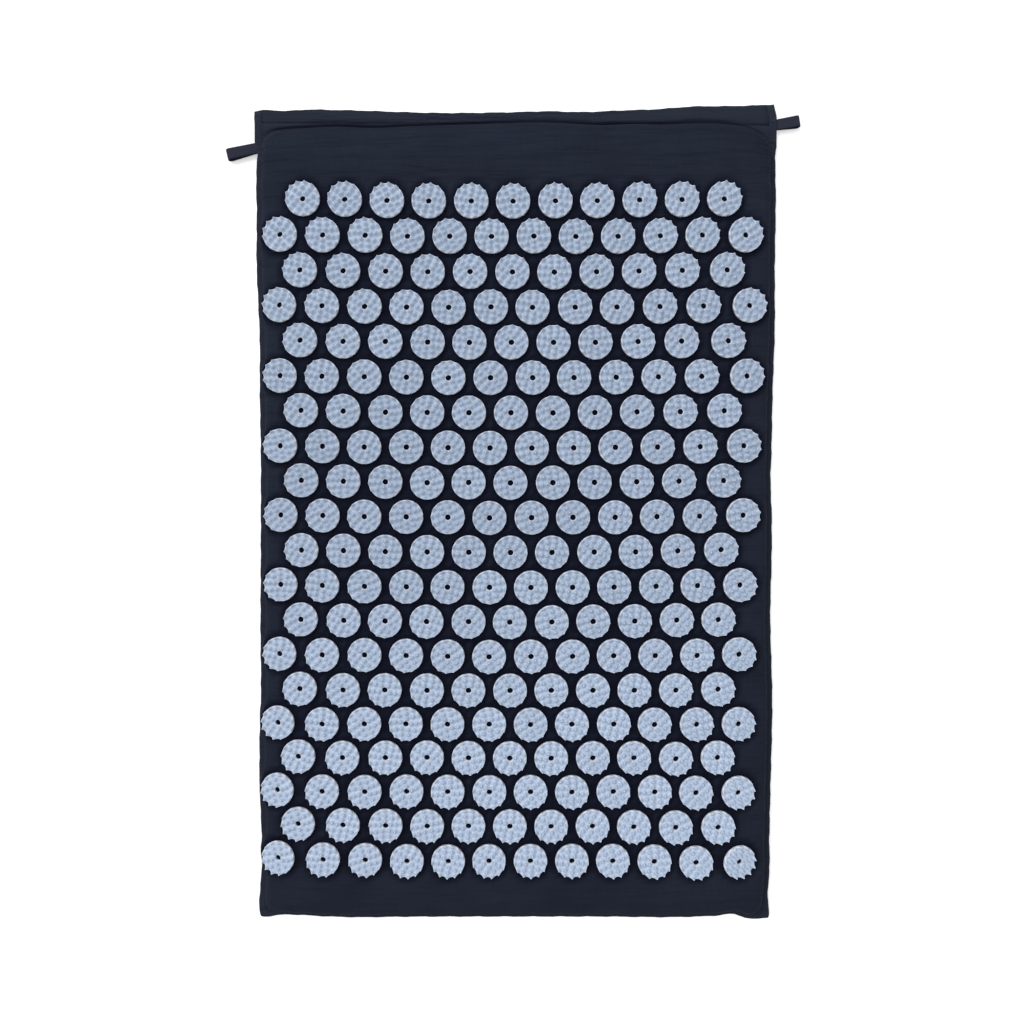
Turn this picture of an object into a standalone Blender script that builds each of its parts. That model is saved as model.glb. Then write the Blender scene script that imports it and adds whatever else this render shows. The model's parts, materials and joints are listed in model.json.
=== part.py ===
"""Acupressure mat: a foam pad in a sewn cloth cover, with rows of spiked plastic discs on its top.

Metres, +Z up. The origin is on the floor under the middle of the cover, and +Y points to the
head end, where the cover's mouth is closed by a strip of hook and loop tape.
"""

import math

import bmesh
import bpy
from mathutils import Matrix, Vector

# The cover and its foam
MAT_WIDTH = 0.411
MAT_LENGTH = 0.648
FOAM_THICKNESS = 0.0164
CROWN = 0.0015
CLOTH = 0.001
GAP = 0.0003
ROLL_RADIUS = 0.006
WALL_LEAN = math.radians(12)
SEAM_FLANGE = 0.0055
FOAM_CHAMFER = 0.0032
SIDE_DRAW_IN = 0.0015
FOOT_DRAW_IN = 0.0015
HEAD_DRAW_IN = 0.0035

# The mouth at the head end
HEM_WIDTH = 0.0072
HEM_STUB = 0.002
TAPE_THICKNESS = 0.0008
TAPE_MARGIN = 0.00175
TAPE_END_MARGIN = 0.012

# The seam's threads
THREAD = 0.0007
STITCH_INSET = 0.0044

# The hanging loops of folded webbing
WEBBING = 0.0009
LOOP_WIDTH = 0.009
LOOP_OPENING = 0.0052
LEFT_LOOP_LENGTH = 0.0243
LEFT_LOOP_FROM_HEAD = 0.0304
LEFT_LOOP_SKEW = -0.0052
RIGHT_LOOP_LENGTH = 0.0175
RIGHT_LOOP_FROM_HEAD = 0.0102
RIGHT_LOOP_SKEW = 0.0023

# The spiked discs
DISC_DIAMETER = 0.027
PLATE_THICKNESS = 0.0018
SPIKE_HEIGHT = 0.0037
SPIKE_INSET = 0.0008
BEAD_HEIGHT = 0.0012
DISC_SPACING = 0.0055
DIAGONAL_SPACING = 0.0045
LEFT_MARGIN = 0.0229
RIGHT_MARGIN = 0.0302
HEAD_MARGIN = 0.078
FOOT_MARGIN = 0.0565

# How meshes are finished: points this close are one, and flatter edges than this are shaded smooth
WELD_DISTANCE = 0.000005
SMOOTH_BELOW = math.radians(40)

# Counts
RIM_SPIKES = 13
ROLL_STEPS = 3
CELLS_ACROSS = 6
CELLS_ALONG = 8
THREAD_STEPS = 8
TIP_STEPS = 8
ROOT_STEPS = 4

# Heights, stacked up from the floor
FOAM_BASE = CLOTH + GAP
TOP_AT_EDGE = FOAM_BASE + FOAM_THICKNESS + GAP + CLOTH
HOOK_TAPE_BASE = CLOTH + GAP
LOOP_TAPE_BASE = HOOK_TAPE_BASE + TAPE_THICKNESS + GAP
FLANGE_BASE = LOOP_TAPE_BASE + TAPE_THICKNESS + GAP
FLANGE_MIDDLE = FLANGE_BASE + CLOTH / 2
FLANGE_TOP = FLANGE_BASE + CLOTH
LOWER_FLANGE_BASE = FLANGE_BASE - GAP - CLOTH

# The cover's plan, from the outline inwards
HALF_WIDTH = MAT_WIDTH / 2
HALF_LENGTH = MAT_LENGTH / 2
CREASE_Y = HALF_LENGTH - HEAD_DRAW_IN - HEM_WIDTH
STUB_END_Y = CREASE_Y - CLOTH / 2 - GAP
HEAD_WALL_Y = STUB_END_Y - HEM_STUB
ROLL_CENTRE_HEIGHT = TOP_AT_EDGE - ROLL_RADIUS
WALL_TOP_HEIGHT = ROLL_CENTRE_HEIGHT + ROLL_RADIUS * math.sin(WALL_LEAN)
WALL_RUN = (WALL_TOP_HEIGHT - FLANGE_TOP) * math.tan(WALL_LEAN)
FLAT_INSET = ROLL_RADIUS * math.cos(WALL_LEAN) + WALL_RUN
FOAM_DEPTH = CLOTH + GAP
FOAM_WALL_INSET = FOAM_DEPTH / math.cos(WALL_LEAN)
LOWER_RAMP = FOAM_WALL_INSET + FOAM_CHAMFER - GAP
FLAT_HALF_WIDTH = HALF_WIDTH - SIDE_DRAW_IN - SEAM_FLANGE - FLAT_INSET
FLAT_HEAD_Y = HEAD_WALL_Y - FLAT_INSET
FLAT_FOOT_Y = -HALF_LENGTH + FOOT_DRAW_IN + SEAM_FLANGE + FLAT_INSET

# The disc grid: each disc is a named clear distance from those beside it and those of the next row
DISC_RADIUS = DISC_DIAMETER / 2
COLUMN_PITCH = DISC_DIAMETER + DISC_SPACING
ROW_PITCH = math.sqrt((DISC_DIAMETER + DIAGONAL_SPACING) ** 2 - (COLUMN_PITCH / 2) ** 2)
DISCS_IN_WIDE_ROW = int((MAT_WIDTH - LEFT_MARGIN - RIGHT_MARGIN) / COLUMN_PITCH) + 1
DISC_ROWS = int((MAT_LENGTH - HEAD_MARGIN - FOOT_MARGIN) / ROW_PITCH) + 1

COLLECTION = "acupressure_mat"


def start_scene():
    """Empties the scene and gives the collection that the parts go in."""
    for obj in list(bpy.data.objects):
        bpy.data.objects.remove(obj, do_unlink=True)
    parts = bpy.data.collections.new(COLLECTION)
    bpy.context.scene.collection.children.link(parts)
    return parts


def material(name, colour, roughness, metallic=0.0):
    made = bpy.data.materials.new(name)
    made.use_nodes = True
    made.diffuse_color = (*colour, 1)
    shader = made.node_tree.nodes["Principled BSDF"]
    shader.inputs["Base Color"].default_value = (*colour, 1)
    shader.inputs["Roughness"].default_value = roughness
    shader.inputs["Metallic"].default_value = metallic
    return made


def add_object(parts, name, data, finish, location=(0, 0, 0)):
    obj = bpy.data.objects.new(name, data)
    obj.location = location
    obj.data.materials.append(finish)
    parts.objects.link(obj)
    return obj


def face_outwards(bm):
    bmesh.ops.recalc_face_normals(bm, faces=bm.faces)
    if bm.calc_volume(signed=True) < 0:
        bmesh.ops.reverse_faces(bm, faces=bm.faces)


def mesh_of(bm, name, smooth=False):
    mesh = bpy.data.meshes.new(name)
    bm.to_mesh(mesh)
    bm.free()
    if smooth:
        mesh.shade_smooth()
        mesh.set_sharp_from_angle(angle=SMOOTH_BELOW)
    return mesh


def thicken_cloth(obj):
    """Gives a panel its thickness, half on either side of its middle surface."""
    shell = obj.modifiers.new("cloth thickness", "SOLIDIFY")
    shell.thickness = CLOTH
    shell.offset = 0
    shell.solidify_mode = "NON_MANIFOLD"
    shell.nonmanifold_thickness_mode = "CONSTRAINTS"


def draw_in(place, half, depth):
    """How far an edge is drawn in at a place along it: all of depth at its middle, none at its ends."""
    return depth * (1 - (place / half) ** 2)


def side_x(y, inset):
    return HALF_WIDTH - draw_in(y, HALF_LENGTH, SIDE_DRAW_IN) - inset


def foot_y(x, inset):
    return -HALF_LENGTH + draw_in(x, HALF_WIDTH, FOOT_DRAW_IN) + inset


def head_y(x):
    return HALF_LENGTH - draw_in(x, HALF_WIDTH, HEAD_DRAW_IN)


def crown(x, y):
    """Rise of the pad's top above its edges."""
    middle = (FLAT_HEAD_Y + FLAT_FOOT_Y) / 2
    half = (FLAT_HEAD_Y - FLAT_FOOT_Y) / 2
    return CROWN * max(0, 1 - (x / FLAT_HALF_WIDTH) ** 2) * max(0, 1 - ((y - middle) / half) ** 2)


def crown_normal(x, y):
    step = DISC_RADIUS
    rise_x = crown(x + step, y) - crown(x - step, y)
    rise_y = crown(x, y + step) - crown(x, y - step)
    return Vector((-rise_x, -rise_y, 2 * step))


def wall_inset(depth, height):
    """Inset of a surface at a height near the wall's foot, where it lies depth inside the outer face."""
    return depth / math.cos(WALL_LEAN) - (FLANGE_TOP - height) * math.tan(WALL_LEAN)


def edge_profile(depth, foot_height):
    """(inset from the wall's foot, height) down the pad's edge, from the flat top to foot_height.

    depth is how far the surface lies inside the cover's outer face.
    """
    points = []
    for step in range(ROLL_STEPS + 1):
        angle = math.pi / 2 - (math.pi / 2 - WALL_LEAN) * step / ROLL_STEPS
        inset = FLAT_INSET - (ROLL_RADIUS - depth) * math.cos(angle)
        points.append((inset, ROLL_CENTRE_HEIGHT + (ROLL_RADIUS - depth) * math.sin(angle)))
    points.append((wall_inset(depth, foot_height), foot_height))
    return points


def even_shares(low, high, cells):
    """The shares between low and high, without these two."""
    return [low + (high - low) * cell / cells for cell in range(1, cells)]


def columns_of(edge, flat_height, cells):
    """(share, inset, height) of each line along the mat, left to right. edge runs from the flat outwards."""
    flat_inset = edge[0][0]
    left = [(-1, inset, height) for inset, height in reversed(edge)]
    middle = [(share, flat_inset, flat_height) for share in even_shares(-1, 1, cells)]
    right = [(1, inset, height) for inset, height in edge]
    return left + middle + right


def row_y(line, amount, x):
    """y of a line across the mat at x. amount is an inset, or between the two flat ends a share."""
    if line == "foot":
        return foot_y(x, amount)
    if line == "wall":
        return HEAD_WALL_Y - amount
    if line == "head":
        return head_y(x)
    flat_foot = foot_y(x, SEAM_FLANGE + FLAT_INSET)
    return flat_foot + amount * (FLAT_HEAD_Y - flat_foot)


def draped_grid(columns, rows, lay, crowned):
    """A grid on the given lines. lay is min where the edges hang down and max where they turn up."""
    bm = bmesh.new()
    last_column = len(columns) - 1
    last_row = len(rows) - 1
    bmesh.ops.create_grid(bm, x_segments=last_column, y_segments=last_row, size=1)
    for vert in bm.verts:
        share, inset, column_height = columns[round((vert.co.x + 1) / 2 * last_column)]
        line, amount, row_height = rows[round((vert.co.y + 1) / 2 * last_row)]
        y = row_y(line, amount, share * (HALF_WIDTH - inset))
        x = share * side_x(y, inset)
        vert.co = (x, y, lay(column_height, row_height))
        if crowned:
            vert.co.z += crown(x, y)
    bmesh.ops.triangulate(bm, faces=bm.faces, quad_method="LONG_EDGE")
    return bm


def foam_pad(parts, finish):
    edge = edge_profile(FOAM_DEPTH, FLANGE_TOP)
    flat_height = edge[0][1]
    side_edge = [(SEAM_FLANGE + inset, height) for inset, height in edge]
    columns = columns_of(side_edge, flat_height, CELLS_ACROSS)
    rows = [("foot", inset, height) for inset, height in reversed(side_edge)]
    rows += [("between", share, flat_height) for share in even_shares(0, 1, CELLS_ALONG)]
    rows += [("wall", inset, height) for inset, height in edge]
    bm = draped_grid(columns, rows, min, crowned=True)
    rim = [line for line in bm.edges if line.is_boundary]
    made = bmesh.ops.extrude_edge_only(bm, edges=rim)["geom"]
    lower_verts = [item for item in made if isinstance(item, bmesh.types.BMVert)]
    lower_edges = [item for item in made if isinstance(item, bmesh.types.BMEdge) and item.is_boundary]
    just_inside = FOAM_WALL_INSET + GAP
    middle_y = (HEAD_WALL_Y + foot_y(0, SEAM_FLANGE)) / 2
    for vert in lower_verts:
        on_side = abs(vert.co.x) > side_x(vert.co.y, SEAM_FLANGE + just_inside)
        low_y = foot_y(vert.co.x, SEAM_FLANGE + just_inside)
        on_end = not low_y < vert.co.y < HEAD_WALL_Y - just_inside
        if on_side:
            vert.co.x -= math.copysign(FOAM_CHAMFER, vert.co.x)
        if on_end:
            vert.co.y -= math.copysign(FOAM_CHAMFER, vert.co.y - middle_y)
        vert.co.z = FOAM_BASE
    underside = bmesh.ops.edgeloop_fill(bm, edges=lower_edges)["faces"]
    bmesh.ops.poke(bm, faces=underside)
    face_outwards(bm)
    add_object(parts, "foam_pad", mesh_of(bm, "foam_pad", smooth=True), finish)


def cover_top_panel(parts, finish):
    """Over the foam's top and walls, out to the flat seam, with side strips that run past the mouth."""
    edge = edge_profile(CLOTH / 2, FLANGE_MIDDLE)
    flat_height = edge[0][1]
    side_edge = [(SEAM_FLANGE + inset, height) for inset, height in edge] + [(0, FLANGE_MIDDLE)]
    columns = columns_of(side_edge, flat_height, CELLS_ACROSS)
    rows = [("foot", inset, height) for inset, height in reversed(side_edge)]
    rows += [("between", share, flat_height) for share in even_shares(0, 1, CELLS_ALONG)]
    rows += [("wall", inset, height) for inset, height in edge]
    rows += [("wall", -HEM_STUB, FLANGE_MIDDLE), ("head", 0, FLANGE_MIDDLE)]
    bm = draped_grid(columns, rows, min, crowned=True)
    mouth = []
    for face in bm.faces:
        middle = face.calc_center_median()
        between_seams = abs(middle.x) < side_x(middle.y, SEAM_FLANGE)
        if middle.y > STUB_END_Y and between_seams:
            mouth.append(face)
    bmesh.ops.delete(bm, geom=mouth, context="FACES")
    panel = add_object(parts, "cover_top_panel", mesh_of(bm, "cover_top_panel", smooth=True), finish)
    thicken_cloth(panel)


def cover_bottom_panel(parts, finish):
    """Flat on the floor under the foam and the mouth, and turned up to the seam at the other edges."""
    low = CLOTH / 2
    raised = LOWER_FLANGE_BASE + CLOTH / 2
    edge = [(SEAM_FLANGE + LOWER_RAMP, low), (SEAM_FLANGE, raised), (0, raised)]
    columns = columns_of(edge, low, CELLS_ACROSS)
    rows = [("foot", inset, height) for inset, height in reversed(edge)]
    rows += [("between", share, low) for share in even_shares(0, 1, CELLS_ALONG)]
    rows += [("wall", 0, low), ("head", 0, low)]
    bm = draped_grid(columns, rows, max, crowned=False)
    panel = add_object(parts, "cover_bottom_panel", mesh_of(bm, "cover_bottom_panel", smooth=True), finish)
    thicken_cloth(panel)


def mouth_flap(parts, finish):
    """The closing hem's upper layer, from the crease to the head edge, with its origin on the crease."""
    hinge = Vector((0, CREASE_Y, FLANGE_MIDDLE))
    inset = SEAM_FLANGE + wall_inset(CLOTH / 2, FLANGE_MIDDLE) + GAP
    bm = bmesh.new()
    bmesh.ops.create_grid(bm, x_segments=CELLS_ACROSS, y_segments=1, size=1)
    for vert in bm.verts:
        share = vert.co.x
        on_crease = vert.co.y < 0
        y = CREASE_Y if on_crease else head_y(share * HALF_WIDTH)
        x = share * side_x(y, inset)
        vert.co = Vector((x, y, FLANGE_MIDDLE)) - hinge
    flap = add_object(parts, "mouth_flap", mesh_of(bm, "mouth_flap"), finish, hinge)
    thicken_cloth(flap)


def closing_tape(parts, name, finish, base):
    """A straight strip along the hem, as wide as the hem leaves between its margins."""
    low_y = CREASE_Y + TAPE_MARGIN
    width = HEM_WIDTH - 2 * TAPE_MARGIN
    length = 2 * (HALF_WIDTH - SEAM_FLANGE - TAPE_END_MARGIN)
    bm = bmesh.new()
    bmesh.ops.create_cube(bm, size=1)
    bmesh.ops.scale(bm, verts=bm.verts, vec=(length, width, TAPE_THICKNESS))
    middle = (0, low_y + width / 2, base + TAPE_THICKNESS / 2)
    add_object(parts, name, mesh_of(bm, name), finish, middle)


def seam_thread(parts, name, finish, height):
    """One thread of the topstitch, down the left side, across the foot and up the right side."""
    top = head_y(HALF_WIDTH) - STITCH_INSET
    bottom = foot_y(HALF_WIDTH - STITCH_INSET, STITCH_INSET)
    side = []
    for step in range(THREAD_STEPS + 1):
        y = top + (bottom - top) * step / THREAD_STEPS
        side.append(Vector((-side_x(y, STITCH_INSET), y, height)))
    corner_x = side_x(side[-1].y, STITCH_INSET)
    foot = []
    for share in even_shares(-1, 1, THREAD_STEPS):
        foot.append(Vector((share * corner_x, foot_y(share * corner_x, STITCH_INSET), height)))
    points = side + foot + [Vector((-p.x, p.y, p.z)) for p in reversed(side)]
    curve = bpy.data.curves.new(name, "CURVE")
    curve.dimensions = "3D"
    curve.bevel_depth = THREAD / 2
    curve.bevel_resolution = 0
    curve.use_fill_caps = True
    spline = curve.splines.new("POLY")
    spline.points.add(len(points) - 1)
    for point, place in zip(spline.points, points):
        point.co = (*place, 1)
    add_object(parts, name, curve, finish)


def teardrop(root_radius, tip_radius, reach):
    """The outline round two circles, the root's at zero and the tip's at reach."""
    touch = math.pi / 2 + math.asin((tip_radius - root_radius) / reach)
    points = []
    for step in range(TIP_STEPS + 1):
        angle = -touch + 2 * touch * step / TIP_STEPS
        points.append((reach + tip_radius * math.cos(angle), tip_radius * math.sin(angle)))
    for step in range(ROOT_STEPS + 1):
        angle = touch + 2 * (math.pi - touch) * step / ROOT_STEPS
        points.append((root_radius * math.cos(angle), root_radius * math.sin(angle)))
    return points


def hang_loop(parts, name, finish, side, length, from_head, skew):
    """Webbing folded into a loop, with its origin on the seam that it swings about."""
    tip_radius = LOOP_OPENING / 2 + WEBBING
    root_radius = WEBBING + GAP / 2
    reach = length - tip_radius
    y = HALF_LENGTH - from_head
    seam = Vector((side * (side_x(y, 0) + GAP + root_radius), y, (LOWER_FLANGE_BASE + FLANGE_TOP) / 2))
    curve = bpy.data.curves.new(name, "CURVE")
    curve.dimensions = "2D"
    curve.fill_mode = "BOTH"
    curve.extrude = LOOP_WIDTH / 2
    for inward in (0, WEBBING):
        points = teardrop(root_radius - inward, tip_radius - inward, reach)
        spline = curve.splines.new("POLY")
        spline.points.add(len(points) - 1)
        for point, place in zip(spline.points, points):
            point.co = (*place, 0, 1)
        spline.use_cyclic_u = True
    flat = bpy.data.objects.new(name, curve)
    parts.objects.link(flat)
    bpy.context.view_layer.update()
    evaluated = flat.evaluated_get(bpy.context.evaluated_depsgraph_get())
    mesh = bpy.data.meshes.new_from_object(evaluated)
    bpy.data.objects.remove(flat, do_unlink=True)
    bm = bmesh.new()
    bm.from_mesh(mesh)
    bmesh.ops.remove_doubles(bm, verts=bm.verts, dist=WELD_DISTANCE)
    tip_height = tip_radius + GAP
    rise = math.asin((tip_height - seam.z) / reach)
    upright = Matrix(((side, 0, 0), (0, 0, -side), (0, 1, 0))).to_4x4()
    bmesh.ops.transform(bm, verts=bm.verts, matrix=upright @ Matrix.Rotation(rise, 4, "Z"))
    for vert in bm.verts:
        vert.co.y += skew * abs(vert.co.x) / length
    face_outwards(bm)
    add_object(parts, name, mesh_of(bm, name, smooth=True), finish, seam)


def rosette(bm):
    """One disc at the origin: a dished fan whose every second rim point stands up as a spike.

    It gives the facets below the spikes, each with two corners on the disc's foot and one at a tip.
    """
    middle, *rim = bmesh.ops.create_circle(
        bm, cap_ends=True, cap_tris=True, segments=2 * RIM_SPIKES, radius=DISC_RADIUS
    )["verts"]
    middle.co.z = PLATE_THICKNESS
    feet, tips = rim[::2], rim[1::2]
    for tip in tips:
        tip.co *= 1 - SPIKE_INSET / DISC_RADIUS
        tip.co.z = PLATE_THICKNESS + SPIKE_HEIGHT
    bm.faces.new(feet)
    return [bm.faces.new((foot, tip, after)) for foot, tip, after in zip(feet, tips, feet[1:] + feet[:1])]


def open_foot(bm, facet):
    """Opens the foot of a rim facet, as high as the bead, and gives the corners of the hole."""
    low_1, low_2, tip = sorted(facet.verts, key=lambda vert: vert.co.z)
    middle = (low_1.co + low_2.co) / 2
    peak = bmesh.ops.poke(bm, faces=[facet])["verts"][0]
    peak.co = middle.lerp(tip.co, BEAD_HEIGHT / tip.co.z)
    foot = [face for face in peak.link_faces if tip not in face.verts]
    bmesh.ops.delete(bm, geom=foot, context="FACES_ONLY")
    return [*sorted((low_1, low_2), key=lambda vert: vert.co.y), peak]


def add_bead(bm, start, end):
    """The bead between two neighbouring discs, from the corners of one hole to those of the other."""
    for corner in range(len(start)):
        after = (corner + 1) % len(start)
        bm.faces.new((start[corner], start[after], end[after], end[corner]))


def disc_row(parts, number, finish):
    """A row of discs, joined by the low beads of the bonding strip between them."""
    count = DISCS_IN_WIDE_ROW - number % 2
    first_x = -HALF_WIDTH + LEFT_MARGIN + (number % 2) * COLUMN_PITCH / 2
    y = HALF_LENGTH - HEAD_MARGIN - (number - 1) * ROW_PITCH
    bm = bmesh.new()
    last_hole = None
    for column in range(count):
        x = first_x + column * COLUMN_PITCH
        tilt = Vector((0, 0, 1)).rotation_difference(crown_normal(x, y)).to_matrix().to_4x4()
        place = Matrix.Translation((x, 0, crown(x, y) + TOP_AT_EDGE + GAP)) @ tilt
        earlier = set(bm.verts)
        facets = rosette(bm)
        left = min(facets, key=lambda face: face.calc_center_median().x)
        right = max(facets, key=lambda face: face.calc_center_median().x)
        hole = open_foot(bm, left) if column > 0 else None
        next_hole = open_foot(bm, right) if column < count - 1 else None
        disc = [vert for vert in bm.verts if vert not in earlier]
        bmesh.ops.transform(bm, verts=disc, matrix=place)
        if hole:
            add_bead(bm, last_hole, hole)
        last_hole = next_hole
    bmesh.ops.triangulate(bm, faces=bm.faces)
    face_outwards(bm)
    name = f"spike_disc_row_{number:02d}"
    add_object(parts, name, mesh_of(bm, name), finish, (0, y, 0))


def build():
    parts = start_scene()
    cotton = material("navy cotton", (0.0176, 0.0212, 0.0343), 0.92)
    lining = material("navy lining", (0.0150, 0.0180, 0.0290), 0.95)
    foam = material("pale foam", (0.62, 0.61, 0.56), 0.98)
    plastic = material("frosted plastic", (0.445, 0.527, 0.672), 0.38)
    webbing = material("navy webbing", (0.0176, 0.0200, 0.0310), 0.85)
    thread = material("navy thread", (0.0300, 0.0340, 0.0520), 0.70)
    tape = material("black closing tape", (0.0120, 0.0130, 0.0170), 0.80)
    foam_pad(parts, foam)
    cover_top_panel(parts, cotton)
    cover_bottom_panel(parts, lining)
    mouth_flap(parts, cotton)
    closing_tape(parts, "mouth_hook_tape", tape, HOOK_TAPE_BASE)
    closing_tape(parts, "mouth_loop_tape", tape, LOOP_TAPE_BASE)
    seam_thread(parts, "seam_needle_thread", thread, FLANGE_TOP + GAP + THREAD / 2)
    seam_thread(parts, "seam_bobbin_thread", thread, LOWER_FLANGE_BASE - GAP - THREAD / 2)
    hang_loop(
        parts, "hang_loop_left", webbing, -1, LEFT_LOOP_LENGTH, LEFT_LOOP_FROM_HEAD, LEFT_LOOP_SKEW
    )
    hang_loop(
        parts, "hang_loop_right", webbing, 1, RIGHT_LOOP_LENGTH, RIGHT_LOOP_FROM_HEAD, RIGHT_LOOP_SKEW
    )
    for number in range(1, DISC_ROWS + 1):
        disc_row(parts, number, plastic)


build()
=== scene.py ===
"""The looks of an acupressure mat: a cloth cover over foam, 230 spiked discs and two hanging loops.

Metres, +Z up, +Y towards the head end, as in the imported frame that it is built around.
"""

import json
import math

import bmesh
import bpy
import numpy as np
from mathutils import Matrix, Vector


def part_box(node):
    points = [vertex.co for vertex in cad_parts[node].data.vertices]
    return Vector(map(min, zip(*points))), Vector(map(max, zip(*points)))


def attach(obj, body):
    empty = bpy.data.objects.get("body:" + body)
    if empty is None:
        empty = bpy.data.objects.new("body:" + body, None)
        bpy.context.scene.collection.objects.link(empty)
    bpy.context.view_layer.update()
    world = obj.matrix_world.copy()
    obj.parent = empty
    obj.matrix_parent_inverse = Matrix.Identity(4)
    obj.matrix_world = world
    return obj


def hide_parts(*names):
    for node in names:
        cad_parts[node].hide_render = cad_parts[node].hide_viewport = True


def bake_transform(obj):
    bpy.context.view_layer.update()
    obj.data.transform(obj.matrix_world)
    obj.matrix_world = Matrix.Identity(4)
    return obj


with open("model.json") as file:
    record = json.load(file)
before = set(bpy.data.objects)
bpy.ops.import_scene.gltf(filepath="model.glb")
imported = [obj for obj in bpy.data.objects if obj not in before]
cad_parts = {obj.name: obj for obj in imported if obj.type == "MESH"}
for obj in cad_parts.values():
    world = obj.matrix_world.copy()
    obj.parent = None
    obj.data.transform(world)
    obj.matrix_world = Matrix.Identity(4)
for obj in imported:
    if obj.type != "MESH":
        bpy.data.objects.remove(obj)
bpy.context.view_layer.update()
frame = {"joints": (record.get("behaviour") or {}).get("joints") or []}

# Sizes that the frame gives
COVER_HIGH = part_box("cover_top_panel")[1]
BOTTOM_LOW, BOTTOM_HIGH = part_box("cover_bottom_panel")
FLAP_LOW, FLAP_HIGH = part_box("mouth_flap")
HOOK_LOW, HOOK_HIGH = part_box("mouth_hook_tape")
PILE_LOW, PILE_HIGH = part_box("mouth_loop_tape")
JOINT_PLACES = {joint["name"]: Vector(joint["pos_m"]) for joint in frame["joints"]}
HALF_WIDTH = COVER_HIGH.x
HALF_LENGTH = COVER_HIGH.y
CREASE_Y = JOINT_PLACES["mouth_opening"].y
FLANGE_MIDDLE = (FLAP_LOW.z + FLAP_HIGH.z) / 2
CLOTH = FLAP_HIGH.z - FLAP_LOW.z
LOWER_FLANGE_MIDDLE = BOTTOM_HIGH.z - CLOTH / 2

# The cover's section, from the outline inwards
SEAM_FLANGE = 0.0055
WALL_INSET = 0.0059
EDGE_RUN = 0.0082
WALL_FULLNESS = 0.8
ROLL_STEPS = 9
LIP_INSET = 0.0006
LIP_DROP = 0.00025
FLANGE_INSETS = (0.0020, 0.0033)
STITCH_INSET = 0.0044
CROWN = 0.0015
EDGE_SAG_SHARE = 0.10
SAG_REACH = 0.009
FLAT_INSET = WALL_INSET + EDGE_RUN
TOP_MIDDLE = COVER_HIGH.z - CROWN - CLOTH / 2
CELL = 0.004
UNDERSIDE_CELL = 2 * CELL
UNDERSIDE_RAMP = 0.0042
EDGE_FREEDOM = 0.15

# The pad's rounded corners in plan: the radius of each line round it
OUTLINE_CORNER = 0.0015
STITCH_CORNER = 0.003
WALL_CORNER = 0.014
FLAT_CORNER = 0.010
CORNER_REACH = 0.035

# The head end, where the top panel stops at the crease and the mouth's flap begins
HEAD_FOOT_Y = CREASE_Y - 0.0032
HEAD_OUTLINE_Y = HEAD_FOOT_Y + WALL_INSET
STUB_END_Y = CREASE_Y - 0.0009
FLAP_TUCK_Y = CREASE_Y - 0.0034
FLAP_RAMP_START_Y = CREASE_Y - 0.0007
FLAP_RAMP_END_Y = CREASE_Y + 0.0012
FLAP_TUCK_DROP = 0.0012
STUB_ROWS = 8
STRIP_ROWS = 5
HEM_ROWS = 12
SLIT = 0.0002

# How far the sewn edges wander from straight, outwards, at places along them
LEFT_WAVE = (
    (-0.324, 0.0002), (-0.312, 0.0015), (-0.301, 0.0005), (-0.286, -0.0006), (-0.261, -0.0010),
    (-0.237, 0.0), (-0.187, 0.0007), (-0.138, -0.0008), (-0.090, -0.0006), (-0.041, -0.0010),
    (0.007, -0.0013), (0.055, -0.0015), (0.103, -0.0009), (0.140, -0.0011), (0.174, 0.0001),
    (0.198, 0.0011), (0.245, 0.0009), (0.270, 0.0012), (0.2936, 0.0003), (0.313, 0.0026), (0.324, 0.0024),
)
RIGHT_WAVE = (
    (-0.324, 0.0022), (-0.317, 0.0020), (-0.301, 0.0011), (-0.286, 0.0022), (-0.261, 0.0018),
    (-0.227, 0.0020), (-0.148, 0.0026), (-0.071, 0.0), (-0.030, 0.0005), (0.007, 0.0), (0.031, -0.0012),
    (0.055, -0.0008), (0.103, -0.0005), (0.151, 0.0005), (0.198, -0.0001), (0.262, -0.0002),
    (0.285, -0.0009), (0.300, -0.0008), (0.3095, -0.0001), (0.3138, 0.0002), (0.3175, -0.0002),
    (0.322, -0.0018), (0.328, -0.0040),
)
FOOT_WAVE = (
    (-0.205, 0.0006), (-0.197, 0.0002), (-0.188, -0.0012), (-0.174, -0.0009), (-0.152, 0.0002),
    (-0.132, 0.0007), (-0.092, 0.0002), (0.0, -0.0004), (0.070, -0.0007), (0.144, -0.0009),
    (0.165, -0.0019), (0.178, -0.0034), (0.190, 0.0002), (0.205, 0.0),
)
HEAD_WAVE = (
    (-0.205, -0.0021), (-0.197, -0.0008), (-0.184, -0.0018), (-0.172, -0.0008), (-0.140, -0.0008),
    (-0.092, -0.0021), (-0.072, -0.0026), (-0.008, -0.0020), (0.028, -0.0010), (0.048, -0.0015),
    (0.087, 0.0001), (0.107, 0.0008), (0.140, 0.0033), (0.167, 0.0037), (0.186, 0.0042), (0.205, 0.0052),
)
CREASE_WAVE = (
    (-0.205, -0.0090), (-0.197, -0.0078), (-0.191, -0.0063), (-0.180, -0.0049), (-0.165, -0.0039),
    (-0.144, -0.0028), (-0.110, -0.0036), (-0.080, -0.0020), (-0.050, -0.0010), (-0.020, 0.0002),
    (0.010, 0.0011), (0.030, 0.0009), (0.066, -0.0005), (0.090, 0.0004), (0.112, 0.0001),
    (0.145, 0.0011), (0.165, 0.0004), (0.180, -0.0022), (0.190, -0.0062), (0.205, -0.0110),
)
CREASE_REACH = 0.030
# The crease's dark line, painted shade on the cloth: its edge towards the head, its softness, its blur on
# the pad's side, its fade near the sides and its strength along the mat
CREASE_LINE = 0.0029
CREASE_SOFTNESS = 0.0016
CREASE_BLUR = 0.009
CREASE_FADE = 0.012
CREASE_DEPTHS = (
    (-0.205, 1.0), (-0.05, 1.0), (0.0, 0.85), (0.04, 0.65), (0.07, 0.8), (0.12, 0.75), (0.205, 0.7),
)
WAVE_FADE = 0.025
RIPPLES = ((0.00018, 0.023, 0.4), (0.00012, 0.011, 2.1))

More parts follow.
